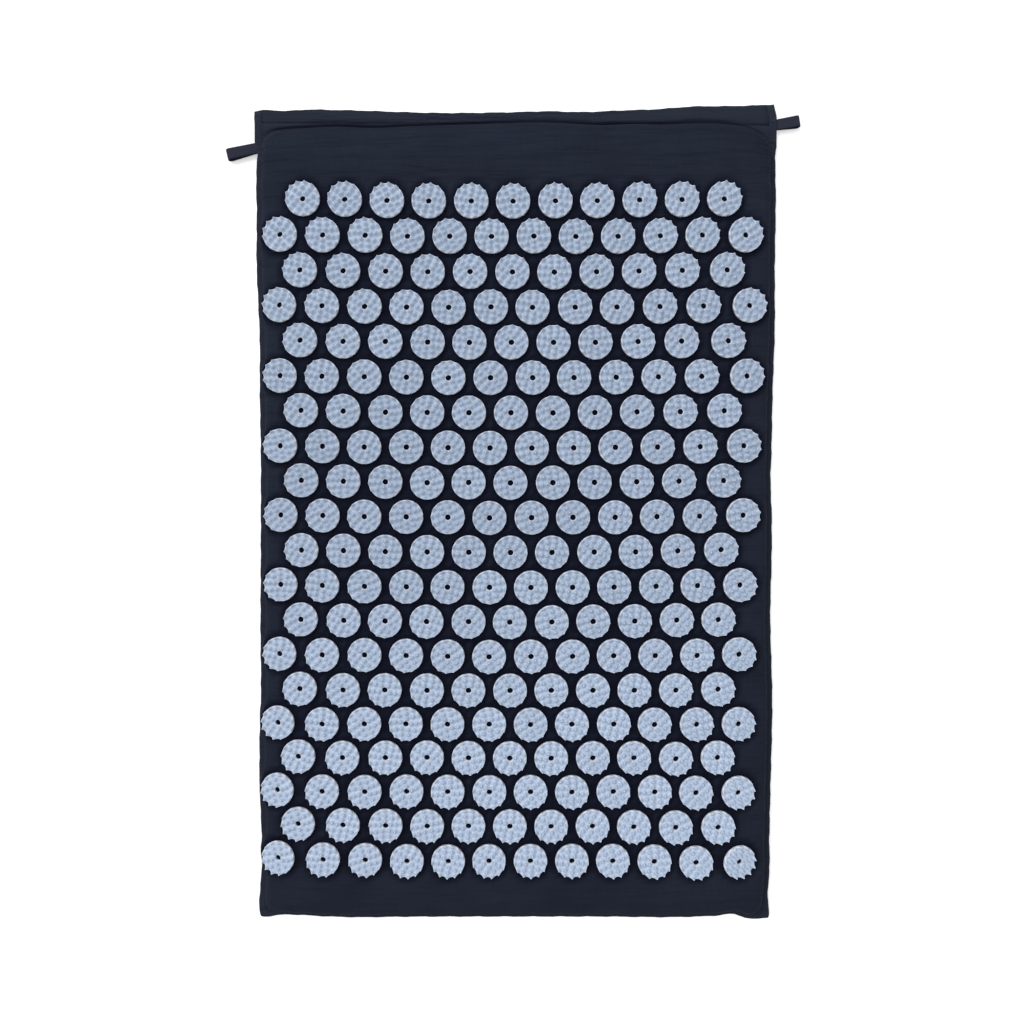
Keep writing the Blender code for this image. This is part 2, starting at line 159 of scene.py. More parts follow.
# The foam inside the cover
FOAM_CLEARANCE = 0.0006
FOAM_CHAMFER = 0.0032
FOAM_CELL = 0.005
LAYER_GAP = 0.0003
FOAM_DEPTH = CLOTH / 2 + FOAM_CLEARANCE

# The discs, all alike but for how they lie
ROWS = 20
WIDE_ROW = 12
DISC_RADIUS = 0.01322
PLATE = 0.0018
SPIKE = 0.0037
HOLE_RADIUS = 0.00225
SPIKE_REACH = 0.0030
SPIKE_FLARE = 1.8
VALLEY_BLEND = 5
RIM = 0.0011
RIM_BEVEL = 0.00035
RIM_SPIKES = 0.8
SEAT = 0.0001
COLUMN_PITCH = 0.0325
ROW_PITCH = 0.026985
FIRST_WIDE_X = -0.1826
FIRST_ROW_Y = 0.246
LEFT_DISC_SHIFTS = (
    (1, 0.0004), (2, -0.0010), (4, -0.0010), (8, -0.0002), (11, 0.0), (14, -0.0014), (16, -0.0031),
    (18, -0.0044), (20, -0.0040),
)
RIGHT_DISC_SHIFTS = (
    (1, -0.0002), (2, 0.0008), (4, 0.0052), (6, 0.0040), (8, 0.0020), (9, 0.0028), (10, 0.0022),
    (12, 0.0004), (15, 0.0002), (18, 0.0004), (20, 0.0016),
)
SHIFT_FADE = 0.35
ROW_MOVES_X = ((1, 0.0011), (4, 0.0003), (8, 0.0001), (13, 0.0), (16, 0.0003), (20, 0.0008))
ROW_MOVES_Y = ((1, 0.0009), (5, 0.0001), (10, -0.0006), (15, -0.0014), (18, -0.0008), (20, -0.0022))
SPREAD = 0.0006
FOOT_CORNER_DRAW = 0.0026
FOOT_CORNER_ROWS = (12, 19)
FOOT_LEFT_DRAW = 0.0013
FOOT_LEFT_ROWS = (13, 16)
FOOT_LEFT_LAST_ROWS = (19.5, 17.5)
SIDE_SHARES = (0.4, 0.9)
ROW_BOW = 0.0019
ROW_BOW_DROP = 0.0007
ROW_LEAN = 0.0007
PLACE_NOISE = 0.00015
TILT_NOISE = math.radians(0.8)
LARGEST_TILT = math.radians(9)
PLANE_REACH = 0.8 * DISC_RADIUS
# A random tone for each disc, and painted light: how much lighter the discs grow, over which rows
TONE_NOISE = 0.15
PAINTED_LIGHT_RISE = 0.7
PAINTED_LIGHT_ROWS = (8, 20)
LEANING_DISCS = {(20, 11): (-0.15, 0.10), (18, 11): (-0.06, 0.05), (16, 11): (-0.03, 0.0)}
PRESSED_RADIUS = 0.0142
FREE_RADIUS = 0.0200
PRESSED_DEPTH = 0.00015

# The cover's slack, which makes its wrinkles: bands along the mat and the share of extra cloth in each
SLACK_BANDS = ((-0.310, -0.284, 0.035), (-0.250, 0.235, 0.008), (0.262, 0.300, 0.070))
SETTLE_FRAMES = 20
CLOTH_SETTINGS = {
    "quality": 4, "mass": 0.05, "bending_stiffness": 0.05, "vertex_group_mass": "held",
    "use_pressure": True, "uniform_pressure_force": 4,
}
MOST_RISE = 0.0016
MOST_DIP = 0.0004
MOST_SLIDE = 0.0003

# Stitches of the topstitch. THREAD_RISE and THREAD_END are shares of the thread's radius
STITCH_PITCH = 0.0032
STITCH_LENGTH = 0.0026
THREAD_RADIUS = 0.00026
STITCH_DIP = 0.00045
STITCH_WANDER = 0.00012
STITCH_SHARES = (0, 0.12, 0.35, 0.65, 0.88, 1)
THREAD_SIDES = 6
THREAD_RISE = 0.75
THREAD_END = 0.55
SEAM_STEPS = 200

# The hanging loops' webbing
WEBBING = 0.0009
LOOP_WIDTH = 0.0084
LOOP_TIP_RADIUS = 0.0027
LOOP_ROOT_RADIUS = 0.00105
SELVEDGE = 0.0002
SELVEDGE_ROUND = 0.0007
LOOP_FLOOR_GAP = 0.0003
LOOP_STEP = 0.0012
TIP_POINTS = 15
ROOT_POINTS = 7
LOOP_LEANS = {"left_loop": math.radians(-13.5), "right_loop": math.radians(9)}

# The closing tapes. A tuft's points: share of its lean, bends along the mat, share of its height
TAPE_STRIP = 0.0004
TAPE_CELLS = (94, 3)
TUFT_PITCH = 0.0013
TUFT_RADIUS = 0.00009
TUFT_BEND = 0.00035
TUFT_LEAN = 0.00015
TUFT_FOOT = 0.8
HOOK_TUFT = ((0, 0, 0), (0, 0, 0.5), (1, 0.4, 0.85), (1, 1.3, 0.80), (1, 1.6, 0.5))
LOOP_TUFT = ((0, 0, 0), (1, 1, 0.6), (1, 2, 0.85), (1, 3, 0.6), (0, 3.4, 0))

# The camera, at the photograph's angle
CAMERA_PLACE = (-0.00265, 0.02145, 0.6003)
CAMERA_TURN = (math.radians(-1.507), math.radians(0.0135), math.radians(0.254))
SENSOR = 36
IMAGE_PIXELS = 1024
FOCAL_PIXELS = 743

# Light, as shares of the level at which a colour renders as it is written
WORLD_LEVEL = 0.66
SUN_LEVEL = 0.22
SUN_FROM = (-0.62, 0.35, 0.75)
SUN_SPREAD = math.radians(40)
HEAD_LAMP_WATTS = 4.2
HEAD_LAMP_PLACE = (-0.3, 1.0, 0.8)
HEAD_LAMP_SIZE = 0.7
FLOOR_GLOW = 0.4
FLOOR_REACH = 2
FLOOR_DROP = 0.0002

# Weave and other fine sizes of the materials
YARN_PITCH = 0.0005
RIB_PITCH = 0.0008
PLY_PITCH = 0.0006


def smoothstep(share):
    share = np.clip(share, 0, 1)
    return share * share * (3 - 2 * share)


def ramp(value, low, high):
    """A smooth rise from 0 at low to 1 at high."""
    return smoothstep((value - low) / (high - low))


def curve_through(points, places):
    """Values at places of one smooth curve through (place, value) points."""
    known, values = np.array(points, float).T
    slopes = np.gradient(values, known)
    places = np.clip(places, known[0], known[-1])
    low = np.clip(np.searchsorted(known, places) - 1, 0, len(known) - 2)
    span = known[low + 1] - known[low]
    t = (places - known[low]) / span
    start = (1 + 2 * t) * (1 - t) ** 2 * values[low] + t * (1 - t) ** 2 * span * slopes[low]
    end = t * t * (3 - 2 * t) * values[low + 1] - t * t * (1 - t) * span * slopes[low + 1]
    return start + end


# Plan and heights of the cover

def ripple(places):
    """The sewn edge's small unevenness."""
    total = np.zeros_like(places)
    for height, length, phase in RIPPLES:
        total += height * np.sin(2 * math.pi * places / length + phase)
    return total


def edge_share(inset):
    """How much of the outline's wandering a place inside it follows."""
    return 1 - smoothstep((inset - SEAM_FLANGE) / WAVE_FADE)


def warp(x, y):
    """Moves places of the straight-edged plan to the mat's uneven one."""
    side = np.where(x < 0, curve_through(LEFT_WAVE, y), curve_through(RIGHT_WAVE, y)) + ripple(y)
    moved_x = x + np.sign(x) * side * edge_share(HALF_WIDTH - np.abs(x))
    foot = curve_through(FOOT_WAVE, x) + ripple(x)
    moved_y = y - foot * edge_share(HALF_LENGTH + y)
    hem = np.clip((y - FLAP_RAMP_END_Y) / (HALF_LENGTH - FLAP_RAMP_END_Y), 0, 1)
    moved_y = moved_y + (curve_through(HEAD_WAVE, x) + ripple(x)) * hem
    return moved_x, moved_y


def crease_move(x, y):
    """How far the pad's head end wanders along the mat, at places of the straight-edged plan."""
    fold = curve_through(CREASE_WAVE, x)
    on_pad = smoothstep(1 - (HEAD_FOOT_Y - y) / CREASE_REACH)
    on_stub = np.clip((STUB_END_Y - y) / (STUB_END_Y - HEAD_FOOT_Y), 0, 1)
    return fold * np.where(y < HEAD_FOOT_Y, on_pad, on_stub)


def crease_shade(x, y, moved_y):
    """How much painted shade the crease's dark line puts on a place, from 0 to 1, on the pad's side and on
    the flap's.
    """
    on_pad = np.clip(1 - (HEAD_FOOT_Y - y) / CREASE_BLUR, 0, 1) ** 2
    line = CREASE_Y + CREASE_LINE + curve_through(CREASE_WAVE, x)
    on_flap = smoothstep((line - moved_y) / CREASE_SOFTNESS)
    inside = smoothstep((HALF_WIDTH - SEAM_FLANGE - np.abs(x)) / CREASE_FADE)
    depth = curve_through(CREASE_DEPTHS, x) * inside
    return on_pad * on_flap * depth


def corner_radius(near, foot_radius):
    insets = (0, STITCH_INSET, WALL_INSET, FLAT_INSET, CORNER_REACH)
    return np.interp(near, insets, (OUTLINE_CORNER, STITCH_CORNER, foot_radius, FLAT_CORNER, 0))


def round_corners(a, b, allowed, foot_radius=WALL_CORNER):
    """Bends the grid's lines round the corners. a and b are insets from the side and from the end."""
    near = np.minimum(a, b)
    far = np.maximum(a, b)
    reach = corner_radius(near, foot_radius)
    bent = allowed & (far < near + reach) & (reach > 0)
    reach = np.where(reach > 0, reach, 1)
    turn = math.pi / 4 * (1 - (far - near) / reach)
    new_near = np.where(bent, near + reach * (1 - np.cos(turn)), near)
    new_far = np.where(bent, near + reach * (1 - np.sin(turn)), far)
    return np.where(a <= b, new_near, new_far), np.where(a <= b, new_far, new_near)


def wall_lines():
    """(inset, height) of the cover's middle surface up the wall and over the roll."""
    lines = []
    for step in range(ROLL_STEPS + 1):
        turn = math.pi / 2 * step / ROLL_STEPS
        inset = WALL_INSET + EDGE_RUN * (1 - math.cos(turn))
        height = FLANGE_MIDDLE + (TOP_MIDDLE - FLANGE_MIDDLE) * math.sin(turn) ** WALL_FULLNESS
        lines.append((inset, height))
    return lines


def flange_lines(middle, lip):
    """(inset, height) of a panel's flat seam, from the outline inwards."""
    insets = (LIP_INSET, *FLANGE_INSETS, STITCH_INSET)
    return [(0, middle + lip)] + [(inset, middle) for inset in insets]


def sagged(height, inset):
    """The height of a flat place lowered near the edges, where the cover pulls the foam down."""
    share = EDGE_SAG_SHARE * np.exp(-np.maximum(0, inset - FLAT_INSET) / SAG_REACH)
    return FLANGE_MIDDLE + (height - FLANGE_MIDDLE) * (1 - share)


def crown_at(x, y):
    middle = (HEAD_FOOT_Y - HALF_LENGTH) / 2
    half = (HEAD_FOOT_Y + HALF_LENGTH) / 2 - FLAT_INSET
    across = np.maximum(0, 1 - (x / (HALF_WIDTH - FLAT_INSET)) ** 2)
    return CROWN * across * np.maximum(0, 1 - ((y - middle) / half) ** 2)


def pad_height(x, y):
    """Height of the cover's middle surface at a place inside the seam."""
    insets, heights = zip(*wall_lines())
    a = HALF_WIDTH - np.abs(x)
    b = np.minimum(y + HALF_LENGTH, HEAD_OUTLINE_Y - y)
    near = np.minimum(a, b)
    return sagged(np.interp(near, insets, heights), near) + crown_at(x, y)


# Meshes

def mesh_from(name, places, faces, smooth=True):
    mesh = bpy.data.meshes.new(name)
    mesh.from_pydata([tuple(place) for place in places], [], faces)
    mesh.validate()
    if smooth:
        mesh.shade_smooth()
    return mesh


def add_object(name, data):
    made = bpy.data.objects.new(name, data)
    bpy.context.scene.collection.objects.link(made)
    return made


def new_piece(name, mesh, material):
    mesh.materials.append(material)
    return add_object(name, mesh)


def set_uv(mesh, places):
    """Gives the mesh a UV map in metres from the flat cloth's places, one for each vertex."""
    layer = mesh.uv_layers.new(name="cloth_metres")
    corners = np.zeros(len(mesh.loops), np.int32)
    mesh.loops.foreach_get("vertex_index", corners)
    layer.data.foreach_set("uv", np.asarray(places, np.float32)[corners].ravel())


def set_values(mesh, name, values):
    layer = mesh.attributes.new(name, "FLOAT", "POINT")
    layer.data.foreach_set("value", np.asarray(values, np.float32))


def grid_faces(columns, rows, keep=None):
    """Faces of a grid whose vertices run along the rows. keep says which cells stay."""
    faces = []
    for row in range(rows - 1):
        for column in range(columns - 1):
            if keep is None or keep[row, column]:
                first = row * columns + column
                faces.append((first, first + 1, first + columns + 1, first + columns))
    return faces


def apply_modifiers(piece):
    graph = bpy.context.evaluated_depsgraph_get()
    made = bpy.data.meshes.new_from_object(piece.evaluated_get(graph), depsgraph=graph)
    piece.modifiers.clear()
    piece.data = made


def thicken(piece, thickness):
    solid = piece.modifiers.new("thickness", "SOLIDIFY")
    solid.thickness = thickness
    solid.offset = 0
    apply_modifiers(piece)


def edit_mesh(piece, change):
    """Lets a function change a piece's mesh."""
    bm = bmesh.new()
    bm.from_mesh(piece.data)
    change(bm)
    bm.to_mesh(piece.data)
    bm.free()


def stacked(*grids):
    """One row of numbers for each point of some grids."""
    return np.column_stack([grid.ravel() for grid in grids])


def lengths_along(line):
    """Length along a line of points, from its first one."""
    return np.concatenate(([0], np.cumsum(np.hypot(*np.diff(line, axis=0).T))))


def side_normals(tangents):
    normals = np.column_stack((tangents[:, 1], -tangents[:, 0]))
    return normals / np.linalg.norm(normals, axis=1)[:, None]


def ring_faces(rings, sides, closed=False):
    """Faces between neighbouring rings of points, and from the last ring to the first if closed."""
    faces = []
    for ring in range(rings if closed else rings - 1):
        here = ring * sides
        there = (ring + 1) % rings * sides
        for side in range(sides):
            after = (side + 1) % sides
            faces.append((here + side, here + after, there + after, there + side))
    return faces


def add_tube(places, faces, points, radii, sides):
    """Adds a closed tube through points, with a radius at each, to a mesh's places and faces."""
    first = len(places)
    count = len(points)
    for number, point in enumerate(points):
        along = (points[min(count - 1, number + 1)] - points[max(0, number - 1)]).normalized()
        across = along.cross(Vector((0, 0, 1)))
        if across.length < 1e-6:
            across = Vector((1, 0, 0))
        across.normalize()
        lift = across.cross(along)
        for side in range(sides):
            angle = 2 * math.pi * side / sides
            places.append(point + radii[number] * (math.cos(angle) * across + math.sin(angle) * lift))
    ends = [tuple(range(sides))[::-1], tuple(range((count - 1) * sides, count * sides))]
    for face in ring_faces(count, sides) + ends:
        faces.append(tuple(first + index for index in face))


# The discs' places

def disc_places():
    """(row, x, y, slope along x, slope along y, turn, tone and painted light) of each disc, slopes over
    the cover's.
    """
    chance = np.random.default_rng(7)
    places = []
    for row in range(1, ROWS + 1):
        narrow = row % 2
        count = WIDE_ROW - narrow
        left_draw = FOOT_LEFT_DRAW * ramp(row, *FOOT_LEFT_ROWS) * ramp(row, *FOOT_LEFT_LAST_ROWS)
        right_draw = FOOT_CORNER_DRAW * ramp(row, *FOOT_CORNER_ROWS)
        for column in range(count):
            x = FIRST_WIDE_X + (column + narrow / 2) * COLUMN_PITCH
            y = FIRST_ROW_Y - (row - 1) * ROW_PITCH
            share = 2 * column / (count - 1) - 1
            x += float(curve_through(ROW_MOVES_X, row)) + SPREAD * share ** 3
            x += float(curve_through(LEFT_DISC_SHIFTS, row)) * SHIFT_FADE ** column
            x += float(curve_through(RIGHT_DISC_SHIFTS, row)) * SHIFT_FADE ** (count - 1 - column)
            y += ROW_BOW * share ** 2 + ROW_LEAN * share - ROW_BOW_DROP
            y += float(curve_through(ROW_MOVES_Y, row))
            y -= right_draw * ramp(share, *SIDE_SHARES)
            y -= left_draw * ramp(-share, *SIDE_SHARES)
            x += PLACE_NOISE * chance.standard_normal()
            y += PLACE_NOISE * chance.standard_normal()
            lean = LEANING_DISCS.get((row, column), (0, 0)) + TILT_NOISE * chance.standard_normal(2)
            turn = chance.uniform(0, 2 * math.pi)
            # A random tone for each disc, plus painted light: discs lighter row by row towards the foot.
            tone_and_painted_light = TONE_NOISE * chance.uniform() + PAINTED_LIGHT_RISE * ramp(row, *PAINTED_LIGHT_ROWS)
            places.append((row, x, y, lean[0], lean[1], turn, tone_and_painted_light))
    return places


def disc_planes():
    """Each disc with the height and slopes of the plane of its underside's middle."""
    angles = np.arange(12) * math.pi / 6
    ring_x = np.concatenate(([0], PLANE_REACH * np.cos(angles)))
    ring_y = np.concatenate(([0], PLANE_REACH * np.sin(angles)))
    frame_of_fit = np.column_stack((ring_x, ring_y, np.ones_like(ring_x)))
    planes = []
    for row, x, y, lean_x, lean_y, turn, tone_and_painted_light in disc_places():
        heights = pad_height(x + ring_x, y + ring_y)
        slope_x, slope_y, middle = np.linalg.lstsq(frame_of_fit, heights, rcond=None)[0]
        slope_x = np.clip(slope_x, -LARGEST_TILT, LARGEST_TILT) + lean_x
        slope_y = np.clip(slope_y, -LARGEST_TILT, LARGEST_TILT) + lean_y
        planes.append((row, x, y, middle, slope_x, slope_y, turn, tone_and_painted_light))
    return planes


def press_under_discs(places, planes, depth):
    """Lays places flat at a depth under each disc's plane. Gives how free each point is, from 0 to 1."""
    free = np.ones(len(places))
    for _, x, y, middle, slope_x, slope_y, _, _ in planes:
        offset_x = places[:, 0] - x
        offset_y = places[:, 1] - y
        distance = np.hypot(offset_x, offset_y)
        near = distance < FREE_RADIUS
        plane = middle + slope_x * offset_x[near] + slope_y * offset_y[near] - depth
        loose = ramp(distance[near], PRESSED_RADIUS, FREE_RADIUS)
        places[near, 2] = plane + (places[near, 2] - plane) * loose
        free[near] = np.minimum(free[near], loose)
    return free


# The cover's top panel

def grid_lines(low, high, edge, cell, high_edge=None):
    """Grid lines between two outlines, and their heights. Each edge is (inset, height) inwards."""
    insets, heights = np.array(edge).T
    high_insets, high_heights = np.array(edge if high_edge is None else high_edge).T
    first = low + insets[-1]
    last = high - high_insets[-1]
    between = np.linspace(first, last, round((last - first) / cell) + 1)[1:-1]
    places = np.concatenate((low + insets, between, high - high_insets[::-1]))
    return places, np.concatenate((heights, np.full(len(between), heights[-1]), high_heights[::-1]))


def plan_lines():
    """Grid lines across and along the top panel, each with its height."""
    edge = flange_lines(FLANGE_MIDDLE, -LIP_DROP) + wall_lines()
    columns_x, columns_z = grid_lines(-HALF_WIDTH, HALF_WIDTH, edge, CELL)
    head_edge = [line for line in edge if line[0] >= WALL_INSET]
    rows_y, rows_z = grid_lines(-HALF_LENGTH, HEAD_OUTLINE_Y, edge, CELL, head_edge)
    stub = np.linspace(HEAD_FOOT_Y, STUB_END_Y, STUB_ROWS)[1:-1]
    strip = np.linspace(STUB_END_Y, HALF_LENGTH, STRIP_ROWS)
    rows_y = np.concatenate((rows_y, stub, strip))
    rows_z = np.concatenate((rows_z, np.full(len(stub) + len(strip), FLANGE_MIDDLE)))
    rows_z[-1] -= LIP_DROP
    return columns_x, columns_z, rows_y, rows_z


def pad_insets(x, y):
    """Insets from the pad's side and from its nearer end, and whether that is the head end."""
    at_head = HEAD_OUTLINE_Y - y < y + HALF_LENGTH
    return HALF_WIDTH - np.abs(x), np.where(at_head, HEAD_OUTLINE_Y - y, y + HALF_LENGTH), at_head


def pad_plan(x, a, b, at_head, allowed):
    """The pad's grid in plan, first with rounded corners, then also moved to the uneven outline."""
    new_a, new_b = round_corners(a, b, allowed)
    plan_x = np.sign(x) * (HALF_WIDTH - new_a)
    plan_y = np.where(at_head, HEAD_OUTLINE_Y - new_b, new_b - HALF_LENGTH)
    moved_x, moved_y = warp(plan_x, plan_y)
    return plan_x, plan_y, moved_x, moved_y + crease_move(plan_x, plan_y)


def arc_places(places, heights):
    """Places along a line of cloth laid flat, with zero at its middle."""
    along = lengths_along(np.column_stack((places, heights)))
    return along - along[-1] / 2


def cover_grid():
    """The top panel's middle surface: places, faces, flat places, insets and the crease's painted shade.
    """
    columns_x, columns_z, rows_y, rows_z = plan_lines()
    x, y = np.meshgrid(columns_x, rows_y)
    height_x, height_y = np.meshgrid(columns_z, rows_z)
    flat_x, flat_y = np.meshgrid(arc_places(columns_x, columns_z), arc_places(rows_y, rows_z))
    a, b, at_head = pad_insets(x, y)
    near = np.minimum(a, b)
    tiny = LIP_INSET / 10
    allowed = ~at_head | (near > WALL_INSET - tiny)
    plan_x, plan_y, moved_x, moved_y = pad_plan(x, a, b, at_head, allowed)
    height = np.minimum(height_x, height_y)
    height = np.where(near > WALL_INSET, sagged(height, near), height) + crown_at(plan_x, plan_y)
    shades = crease_shade(plan_x, plan_y, moved_y) * (HALF_WIDTH - np.abs(plan_x) > WALL_INSET)
    middle_x = (np.abs(x[1:, 1:]) + np.abs(x[1:, :-1])) / 2
    keep = (y[:-1, :-1] < STUB_END_Y - tiny) | (middle_x > HALF_WIDTH - WALL_INSET)
    faces = grid_faces(len(columns_x), len(rows_y), keep)
    places = stacked(moved_x, moved_y, height)
    return places, faces, stacked(flat_x, flat_y), near.ravel(), shades.ravel()


def settle_cloth(places, faces, free):
    """Gives the stretched cover its small wrinkles: a short cloth simulation with its movement capped."""
    slack = places.copy()
    for low, high, share in SLACK_BANDS:
        slack[:, 1] += share * (np.clip(slack[:, 1], low, high) - low)
    piece = add_object("cloth_trial", mesh_from("cloth_trial", places, faces))
    piece.shape_key_add(name="lying")
    rest = piece.shape_key_add(name="slack")
    rest.data.foreach_set("co", slack.astype(np.float32).ravel())
    held = piece.vertex_groups.new(name="held")
    for index, loose in enumerate(free):
        held.add([index], 1 - loose, "REPLACE")
    cloth = piece.modifiers.new("cloth", "CLOTH")
    for key, value in CLOTH_SETTINGS.items():
        setattr(cloth.settings, key, value)
    cloth.settings.rest_shape_key = rest
    cloth.settings.effector_weights.gravity = 0
    cloth.collision_settings.use_collision = False
    cloth.point_cache.frame_start = 1
    cloth.point_cache.frame_end = SETTLE_FRAMES
    scene = bpy.context.scene
    for number in range(1, SETTLE_FRAMES + 1):
        scene.frame_set(number)
    settled = piece.evaluated_get(bpy.context.evaluated_depsgraph_get())
    moved = np.zeros(len(places) * 3, np.float32)
    settled.data.vertices.foreach_get("co", moved)
    move = moved.reshape(-1, 3) - places
    bpy.data.objects.remove(piece)
    scene.frame_set(1)
    most = np.where(move[:, 2] > 0, MOST_RISE, MOST_DIP)
    move[:, 2] = most * np.tanh(move[:, 2] / most)
    move[:, :2] = MOST_SLIDE * np.tanh(move[:, :2] / MOST_SLIDE)
    return places + move * free[:, None]


def build_cover(material, planes):
    places, faces, flat_places, insets, crease = cover_grid()
    free = press_under_discs(places, planes, PRESSED_DEPTH)
    # Painted shade: the cloth is painted darker round each disc and along the crease's dark line.
    shaded = np.maximum(1 - free, crease)
    free *= smoothstep((insets - WALL_INSET) / (FLAT_INSET - WALL_INSET) + EDGE_FREEDOM)
    free[places[:, 1] > HEAD_FOOT_Y - EDGE_RUN / 2] = 0
    places = settle_cloth(places, faces, free)
    mesh = mesh_from("cover_top", places, faces)
    set_uv(mesh, flat_places)
    set_values(mesh, "inset", insets)
    set_values(mesh, "shaded", shaded)
    piece = new_piece("cover_top", mesh, material)
    edit_mesh(piece, drop_loose)
    thicken(piece, CLOTH)
    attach(piece, "pad")
    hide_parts("cover_top_panel")
    return piece


def drop_loose(bm):
    """Removes the grid's points that no face uses."""
    loose = [vert for vert in bm.verts if not vert.link_faces]
    bmesh.ops.delete(bm, geom=loose, context="VERTS")


# The mouth's flap

def build_flap(material):
    half = HALF_WIDTH - WALL_INSET - SLIT
    xs = np.linspace(-half, half, round(2 * half / CELL) + 1)
    low = FLANGE_MIDDLE - FLAP_TUCK_DROP
    ramp_middle = ((FLAP_RAMP_START_Y + FLAP_RAMP_END_Y) / 2, (low + FLANGE_MIDDLE) / 2)
    lines = [(FLAP_TUCK_Y, low), (FLAP_RAMP_START_Y, low), ramp_middle]
    lines += [(y, FLANGE_MIDDLE) for y in np.linspace(FLAP_RAMP_END_Y, HALF_LENGTH, HEM_ROWS)[:-1]]
    lines += [(HALF_LENGTH - LIP_INSET, FLANGE_MIDDLE), (HALF_LENGTH, FLANGE_MIDDLE - LIP_DROP)]
    ys, zs = np.array(lines).T
    x, y = np.meshgrid(xs, ys)
    z = np.meshgrid(xs, zs)[1]
    moved_x, moved_y = warp(x, y)
    mesh = mesh_from("mouth_flap_hem", stacked(moved_x, moved_y, z), grid_faces(len(xs), len(ys)))
    set_uv(mesh, stacked(x, y))
    set_values(mesh, "inset", np.minimum(HALF_LENGTH - y, STITCH_INSET + SLIT).ravel())
    # Painted shade of the crease's dark line.
    set_values(mesh, "shaded", crease_shade(x, y, y).ravel())
    piece = new_piece("mouth_flap_hem", mesh, material)
    thicken(piece, CLOTH)
    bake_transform(piece)
    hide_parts("mouth_flap")
    return piece


# The cover's bottom panel

def build_bottom(material):
    low = BOTTOM_LOW.z + CLOTH / 2
    ramp_lines = [(SEAM_FLANGE, LOWER_FLANGE_MIDDLE), (SEAM_FLANGE + UNDERSIDE_RAMP, low)]
    edge = flange_lines(LOWER_FLANGE_MIDDLE, 0) + ramp_lines
    columns_x, columns_z = grid_lines(-HALF_WIDTH, HALF_WIDTH, edge, UNDERSIDE_CELL)
    rows_y, rows_z = grid_lines(-HALF_LENGTH, HALF_LENGTH, edge, UNDERSIDE_CELL, [(0, low)])
    x, y = np.meshgrid(columns_x, rows_y)
    height_x, height_y = np.meshgrid(columns_z, rows_z)
    a = HALF_WIDTH - np.abs(x)
    b = y + HALF_LENGTH
    new_a, new_b = round_corners(a, b, b < HALF_LENGTH, STITCH_CORNER)
    moved_x, moved_y = warp(np.sign(x) * (HALF_WIDTH - new_a), new_b - HALF_LENGTH)
    places = stacked(moved_x, moved_y, np.maximum(height_x, height_y))
    mesh = mesh_from("cover_bottom", places, grid_faces(len(columns_x), len(rows_y)))
    flat_x, flat_y = np.meshgrid(arc_places(columns_x, columns_z), arc_places(rows_y, rows_z))
    set_uv(mesh, stacked(flat_x, flat_y))
    set_values(mesh, "inset", np.minimum(a, b).ravel())
    piece = new_piece("cover_bottom", mesh, material)
    thicken(piece, CLOTH)
    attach(piece, "pad")
    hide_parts("cover_bottom_panel")
    return piece


# The foam

def foam_edge():
    """(inset, height) of the foam's edge: a chamfer, then the cover's wall and roll moved inwards."""
    lines = np.array(wall_lines())
    inner = lines + FOAM_DEPTH * side_normals(np.gradient(lines, axis=0))
    base = BOTTOM_LOW.z + CLOTH + LAYER_GAP
    return np.vstack(((inner[0][0] + FOAM_CHAMFER, base), inner))


def line_ranks(count, most):
    """How many lines in from the nearer end each of count lines lies, up to a most."""
    numbers = np.arange(count)
    return np.minimum(most, np.minimum(numbers, numbers[::-1]))


def build_foam(material, planes):
    edge = foam_edge()
    columns_x, columns_z = grid_lines(-HALF_WIDTH, HALF_WIDTH, edge, FOAM_CELL)
    rows_y, rows_z = grid_lines(-HALF_LENGTH, HEAD_OUTLINE_Y, edge, FOAM_CELL)
    x, y = np.meshgrid(columns_x, rows_y)
    height_x, height_y = np.meshgrid(columns_z, rows_z)
    rank_x, rank_y = np.meshgrid(
        line_ranks(len(columns_x), len(edge)), line_ranks(len(rows_y), len(edge))
    )
    a, b, at_head = pad_insets(x, y)
    height = np.where(rank_x < rank_y, height_x, height_y)
    near = np.where(rank_x < rank_y, a, b)
    plan_x, plan_y, moved_x, moved_y = pad_plan(x, a, b, at_head, np.ones_like(at_head))
    lowest = height < FLANGE_MIDDLE
    height = np.where(lowest, height, sagged(height, near) + crown_at(plan_x, plan_y) - LAYER_GAP)
    places = stacked(moved_x, moved_y, height)
    pressed = places.copy()
    press_under_discs(pressed, planes, FOAM_DEPTH + PRESSED_DEPTH + LAYER_GAP)
    places[:, 2] = np.where(lowest.ravel(), places[:, 2], np.minimum(places[:, 2], pressed[:, 2]))
    mesh = mesh_from("foam_block", places, grid_faces(len(columns_x), len(rows_y)))
    piece = new_piece("foam_block", mesh, material)
    edit_mesh(piece, close_underside)
    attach(piece, "pad")
    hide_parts("foam_pad")
    return piece


def close_underside(bm):
    rim = [edge for edge in bm.edges if edge.is_boundary]
    made = bmesh.ops.edgeloop_fill(bm, edges=rim)["faces"]
    bmesh.ops.triangulate(bm, faces=made)
    bmesh.ops.recalc_face_normals(bm, faces=bm.faces)


# The discs

SPIKE_RINGS = ((5, 0.0046, 0.3), (9, 0.0085, 1.1), (13, 0.0128, 0.0))
BANDS = (
    (0, 10, (0.00225, 0.0030, 0.0038, 0.0046, 0.0054, 0.0063)),
    (1, 8, (0.0070, 0.0078, 0.0085, 0.0092, 0.0101)),
    (2, 8, (0.0108, 0.0116, 0.0123, 0.0128)),
)


def spike_height(x, y):
    """Height of the moulded spikes over the plate at places on the disc."""
    total = np.zeros_like(x)
    for count, radius, phase in SPIKE_RINGS:
        for number in range(count):
            angle = phase + 2 * math.pi * number / count
            distance = np.hypot(x - radius * math.cos(angle), y - radius * math.sin(angle))
            share = np.clip(1 - distance / SPIKE_REACH, 0, 1)
            total += (SPIKE * share ** SPIKE_FLARE) ** VALLEY_BLEND
    return total ** (1 / VALLEY_BLEND)


